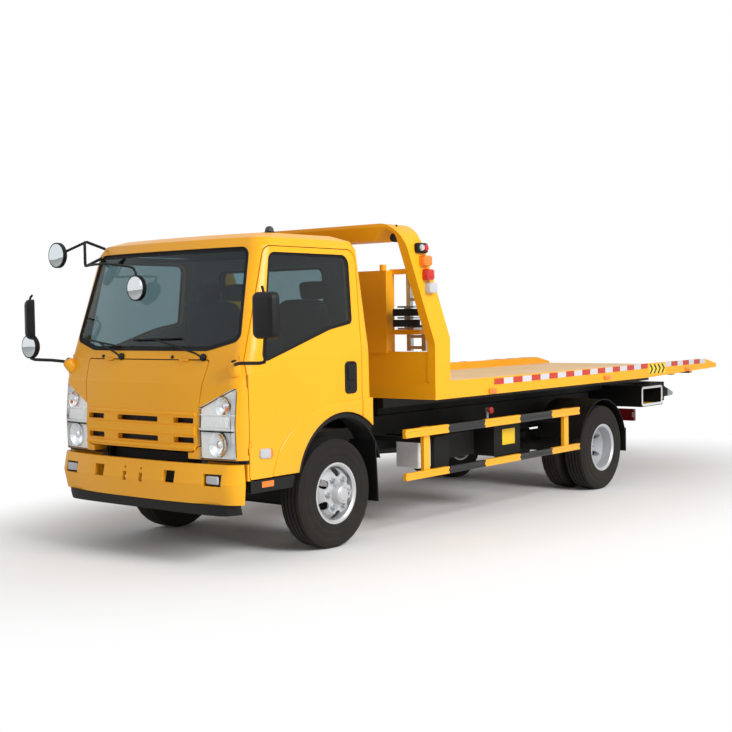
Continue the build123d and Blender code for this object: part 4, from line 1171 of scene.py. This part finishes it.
class TRUCK_OT_side_guards(bpy.types.Operator):
    """Ribs on the side guards and reflectors on the steps"""
    bl_idname = "truck.side_guards"
    bl_label = "Side guards"

    def execute(self, context):
        ribs, reflectors = bmesh.new(), bmesh.new()
        for side in (1, -1):
            for low, high in ((435, 492), (762, 830)):
                third = (high - low) / 3
                for z in (low + third * 0.5, high - third * 0.5):
                    add_block(ribs, (-3300, -618), (side * 1098, side * 1107),
                              (z - third * 0.45, z + third * 0.45), 4)
            add_block(reflectors, (690, 808), (side * 946, side * 951), (540, 582), 2)
        finish_piece("guard_ribs", ribs, "guard_stripes", "chassis")
        finish_piece("step_reflectors", reflectors, "amber_lens", "chassis")
        return {"FINISHED"}


class TRUCK_OT_underlift_trim(bpy.types.Operator):
    """Rims and linings of the underlift's boxes, with a white end wall painted as the light seen through
    them, and the shoes at its tip
    """
    bl_idname = "truck.underlift_trim"
    bl_label = "Underlift trim"

    def execute(self, context):
        mouth = rounded(((-5018, 716), (-5504, 716), (-5504, 921), (-5018, 921)), 40)
        rim = ((0, 878), (0, 884), (24, 884), (24, 878))
        shoe = ((-6040, 764), (-6161, 769), (-6177, 801), (-6040, 852))
        # Finish, y limits and z limits of each lining
        # The white wall at the inner end of each box is painted light, standing for the light seen through
        # the open box
        linings = (("plate_yellow", (505, 872), (723, 729)), ("can_white", (500, 508), (729, 914)))
        for finish, (y0, y1), z in linings:
            bm = bmesh.new()
            for side in (1, -1):
                add_block(bm, (-5028, -5494), (side * y0, side * y1), z, 1)
            finish_piece(f"underlift_lining_{finish}", bm, finish, "underlift")
        rims, shoes = bmesh.new(), bmesh.new()
        for side in (1, -1):
            add_band(rims, mouth, rim, lambda x, z, y: spot(x, side * y, z))
            add_prism(shoes, [spot(x, side * 418, z) for x, z in shoe], (0, side * 274, 0))
        finish_piece("underlift_rims", rims, "can_white", "underlift")
        finish_piece("underlift_shoes", shoes, "zinc_plate", "underlift_stinger")
        return {"FINISHED"}


class TRUCK_OT_side_fittings(bpy.types.Operator):
    """Blank plate, white can and red valve behind the left side guard"""
    bl_idname = "truck.side_fittings"
    bl_label = "Side fittings"

    def execute(self, context):
        plate, can, knob, valve = (bmesh.new() for _ in range(4))
        add_block(plate, (-2190, -2392), (960, 963), (566, 703), 1)
        add_block(can, (-1010, -1182), (700, 930), (478, 708), 14, 3)
        valve_x, valve_z = -2051, 878
        grip = ((0, 26), (4, 30), (20, 30), (24, 26), (26, 0))
        add_turned(knob, grip, spot(valve_x, 925, valve_z), (0, 1, 0), 24)
        add_tube(valve, [spot(valve_x, 900, z) for z in (740, valve_z)], 13, 12)
        add_turned(valve, ((0, 22), (34, 22), (34, 0)), spot(valve_x, 893, valve_z), (0, 1, 0), 16)
        finish_piece("blank_plate", plate, "plate_yellow", "chassis")
        finish_piece("side_can", can, "can_white", "chassis")
        finish_piece("valve_knob", knob, "valve_red", "chassis")
        finish_piece("valve_body", valve, "zinc_plate", "chassis")
        return {"FINISHED"}


class TRUCK_OT_winch_rope(bpy.types.Operator):
    """Turns of wire rope on the winch drum"""
    bl_idname = "truck.winch_rope"
    bl_label = "Winch rope"

    def execute(self, context):
        rope, turns, first_y = 16.0, 26, -205
        drum_x, drum_z = -1300, 1220
        strand = ((-8, 70), (-6, 76), (0, 79), (6, 76), (8, 70))
        bm = bmesh.new()
        for i in range(turns):
            add_turned(bm, strand, spot(drum_x, first_y + i * rope, drum_z), (0, 1, 0), 28)
        finish_piece("winch_rope", bm, "wire_rope", "bed")
        return {"FINISHED"}


def cushion(name, place, half_mm, lean):
    """Crowned pad with two sewn channels, leaning back by an angle."""
    crown_fall = 0.22
    channel_depth, channel_place, channel_width = 0.10, 0.55, 0.07
    bm = bmesh.new()
    bmesh.ops.create_cube(bm, size=2.0)
    bmesh.ops.subdivide_edges(bm, edges=bm.edges[:], cuts=9, use_grid_fill=True)
    turn = Matrix.Rotation(math.radians(-lean), 4, "Y")
    for vert in bm.verts:
        x, y, z = vert.co
        square = max((abs(x) ** 6 + abs(y) ** 6 + abs(z) ** 2.6) ** (1 / 6), 0.75)
        crown = 1.0 - crown_fall * max(x * x, y * y)
        channel = 1.0 - channel_depth * math.exp(-((abs(y) - channel_place) / channel_width) ** 2)
        x = max(-1, min(1, x / square * 0.98))
        y = max(-1, min(1, y / square * 0.98))
        flat = Vector((x * half_mm[0], y * half_mm[1], z * crown * channel * half_mm[2])) * MM
        vert.co = place + turn @ flat
    pad = finish_piece(name, bm, "seat_cloth", "cab", 60)
    return pad


class TRUCK_OT_seats(bpy.types.Operator):
    """Seat cushions, backs and head rests"""
    bl_idname = "truck.seats"
    bl_label = "Seats"

    def execute(self, context):
        bm = bmesh.new()
        for name, y0, y1, rests in SEATS:
            add_block(bm, (-60, 230), (y0 + 80, y1 - 80), (985, 1120), 12)
        finish_piece("seat_frames", bm, "dash_grey", "cab", replaces=("seats",))
        for name, y0, y1, rests in SEATS:
            middle, half = (y0 + y1) / 2, (y1 - y0) / 2
            cushion(f"{name}_cushion", spot(95, middle, 1190), (235, half, 66), 0.0)
            cushion(f"{name}_back", spot(-150, middle, 1520), (330, half, 58), 77.0)
            for i, y in enumerate(rests):
                cushion(f"{name}_head_rest_{i}", spot(-222, y, 1905), (70, 125, 42), 80.0)
        return {"FINISHED"}


# Stage

FLOOR_REACH = 60.0
# Weights of x and y in the weighted distance at which the floor starts and ends its fade to white
FLOOR_SPREAD = (0.16, 0.30, 0.0)
FADE_FROM, FADE_TO = 0.55, 1.05
# Strength of the sky where it lights the truck
SKY_LIGHT = 0.42
# Lamps: name, place, aim, size in metres and power in watts
LIGHTS = (
    ("key", (3.0, 12.0, 8.0), (0.5, 0, 1.0), 6.0, 1620),
    ("fill", (13.0, -2.0, 6.0), (2.5, 0, 1.2), 6.0, 90),
)
# Camera fitted to the wheels, the cab and the bed: place in metres, angles in degrees, lens in millimetres
CAMERA_PLACE = (9.4787, 6.7800, 1.6877)
CAMERA_YAW, CAMERA_PITCH, CAMERA_ROLL = 219.034, -2.228, -0.832
CAMERA_LENS = 60.6
SENSOR = 36.0


def lay_floor(scene):
    """Pale floor that keeps the shadow and fades to white away from the truck."""
    r = FLOOR_REACH
    mesh = bpy.data.meshes.new("floor")
    mesh.from_pydata([(-r, -r, 0), (r, -r, 0), (r, r, 0), (-r, r, 0)], [], [(0, 1, 2, 3)])
    floor = bpy.data.objects.new("floor", mesh)
    scene.collection.objects.link(floor)
    # Matt paper: even and nearly white
    tree = surface("studio_floor", "#F6F6F6", "#F4F4F4", 0.95).node_tree
    mesh.materials.append(FINISH["studio_floor"])
    where = add_node(tree, "ShaderNodeTexCoord").outputs["Object"]
    flat = add_node(tree, "ShaderNodeVectorMath", {"operation": "MULTIPLY"}, {0: where, 1: FLOOR_SPREAD})
    away = add_node(tree, "ShaderNodeVectorMath", {"operation": "LENGTH"}, {0: flat.outputs["Vector"]})
    fade = add_node(tree, "ShaderNodeMapRange", {"interpolation_type": "SMOOTHSTEP"}, {
        "Value": away.outputs["Value"], "From Min": FADE_FROM, "From Max": FADE_TO})
    rays = add_node(tree, "ShaderNodeLightPath").outputs
    white = add_node(tree, "ShaderNodeMath", {"operation": "MULTIPLY"}, {
        0: fade.outputs["Result"], 1: rays["Is Camera Ray"]})
    glow = add_node(tree, "ShaderNodeEmission", None, {"Color": (1, 1, 1, 1), "Strength": 1.0})
    blend = add_node(tree, "ShaderNodeMixShader", None, {
        0: white.outputs[0], 1: tree.nodes["Principled BSDF"].outputs[0], 2: glow.outputs[0]})
    tree.links.new(blend.outputs[0], tree.nodes["Material Output"].inputs["Surface"])


def light_sky(scene):
    """White sky for the camera, glass and metal, and a softer one as light."""
    world = bpy.data.worlds.new("studio")
    scene.world = world
    world.use_nodes = True
    tree = world.node_tree
    rays = add_node(tree, "ShaderNodeLightPath").outputs
    seen = rays["Is Camera Ray"]
    for kind in ("Is Transmission Ray", "Is Glossy Ray"):
        seen = add_node(tree, "ShaderNodeMath", {"operation": "MAXIMUM"}, {
            0: seen, 1: rays[kind]}).outputs[0]
    level = add_node(tree, "ShaderNodeMapRange", None, {"Value": seen, "To Min": SKY_LIGHT, "To Max": 1.0})
    sky = tree.nodes["Background"]
    sky.inputs["Color"].default_value = (1, 1, 1, 1)
    tree.links.new(level.outputs["Result"], sky.inputs["Strength"])


def hang_lights(scene):
    for name, place, aim, size, power in LIGHTS:
        data = bpy.data.lights.new(name, "AREA")
        data.size = size
        data.energy = power
        lamp = bpy.data.objects.new(name, data)
        lamp.location = place
        lamp.rotation_euler = (Vector(aim) - Vector(place)).to_track_quat("-Z", "Y").to_euler()
        scene.collection.objects.link(lamp)


def place_camera(scene):
    yaw, pitch, roll = (math.radians(a) for a in (CAMERA_YAW, CAMERA_PITCH, CAMERA_ROLL))
    ahead = Vector((math.cos(yaw) * math.cos(pitch), math.sin(yaw) * math.cos(pitch), math.sin(pitch)))
    right = ahead.cross(Vector((0, 0, 1))).normalized()
    up = right.cross(ahead)
    tilted_right = right * math.cos(roll) + up * math.sin(roll)
    tilted_up = up * math.cos(roll) - right * math.sin(roll)
    data = bpy.data.cameras.new("photo_camera")
    data.sensor_fit = "HORIZONTAL"
    data.sensor_width = SENSOR
    data.lens = CAMERA_LENS
    data.clip_end = 200.0
    camera = bpy.data.objects.new("photo_camera", data)
    turn = Matrix((tilted_right, tilted_up, -ahead)).transposed().to_4x4()
    camera.matrix_world = Matrix.Translation(CAMERA_PLACE) @ turn
    scene.collection.objects.link(camera)
    scene.camera = camera


class TRUCK_OT_stage(bpy.types.Operator):
    """Pale floor, soft studio light and the camera"""
    bl_idname = "truck.stage"
    bl_label = "Stage"

    def execute(self, context):
        scene = context.scene
        scene.view_settings.view_transform = "Standard"
        lay_floor(scene)
        light_sky(scene)
        hang_lights(scene)
        place_camera(scene)
        return {"FINISHED"}


STEPS = (
    TRUCK_OT_finishes, TRUCK_OT_tyres, TRUCK_OT_wheel_hardware, TRUCK_OT_glazing, TRUCK_OT_wipers,
    TRUCK_OT_door_trim, TRUCK_OT_headlamps, TRUCK_OT_fog_lamps, TRUCK_OT_grille, TRUCK_OT_arch_flares,
    TRUCK_OT_roof_marker, TRUCK_OT_air_dam, TRUCK_OT_mirrors, TRUCK_OT_arch_lamps, TRUCK_OT_bed_marks,
    TRUCK_OT_side_guards, TRUCK_OT_underlift_trim, TRUCK_OT_side_fittings, TRUCK_OT_winch_rope,
    TRUCK_OT_seats, TRUCK_OT_stage,
)


class TRUCK_PT_panel(bpy.types.Panel):
    """Lists the truck's pieces in the sidebar"""
    bl_idname = "TRUCK_PT_panel"
    bl_label = "Recovery Truck"
    bl_space_type = "VIEW_3D"
    bl_region_type = "UI"
    bl_category = "Truck"

    def draw(self, context):
        for step in STEPS:
            self.layout.operator(step.bl_idname)


CLASSES = (TruckSizes, TruckColours, *STEPS, TRUCK_PT_panel)


def register():
    for item in CLASSES:
        bpy.utils.register_class(item)
    bpy.types.Scene.truck_sizes = PointerProperty(type=TruckSizes)
    bpy.types.Scene.truck_colours = PointerProperty(type=TruckColours)


def unregister():
    del bpy.types.Scene.truck_colours
    del bpy.types.Scene.truck_sizes
    for item in reversed(CLASSES):
        bpy.utils.unregister_class(item)


def main():
    register()
    for step in STEPS:
        group, name = step.bl_idname.split(".")
        getattr(getattr(bpy.ops, group), name)()


if __name__ == "__main__":
    main()
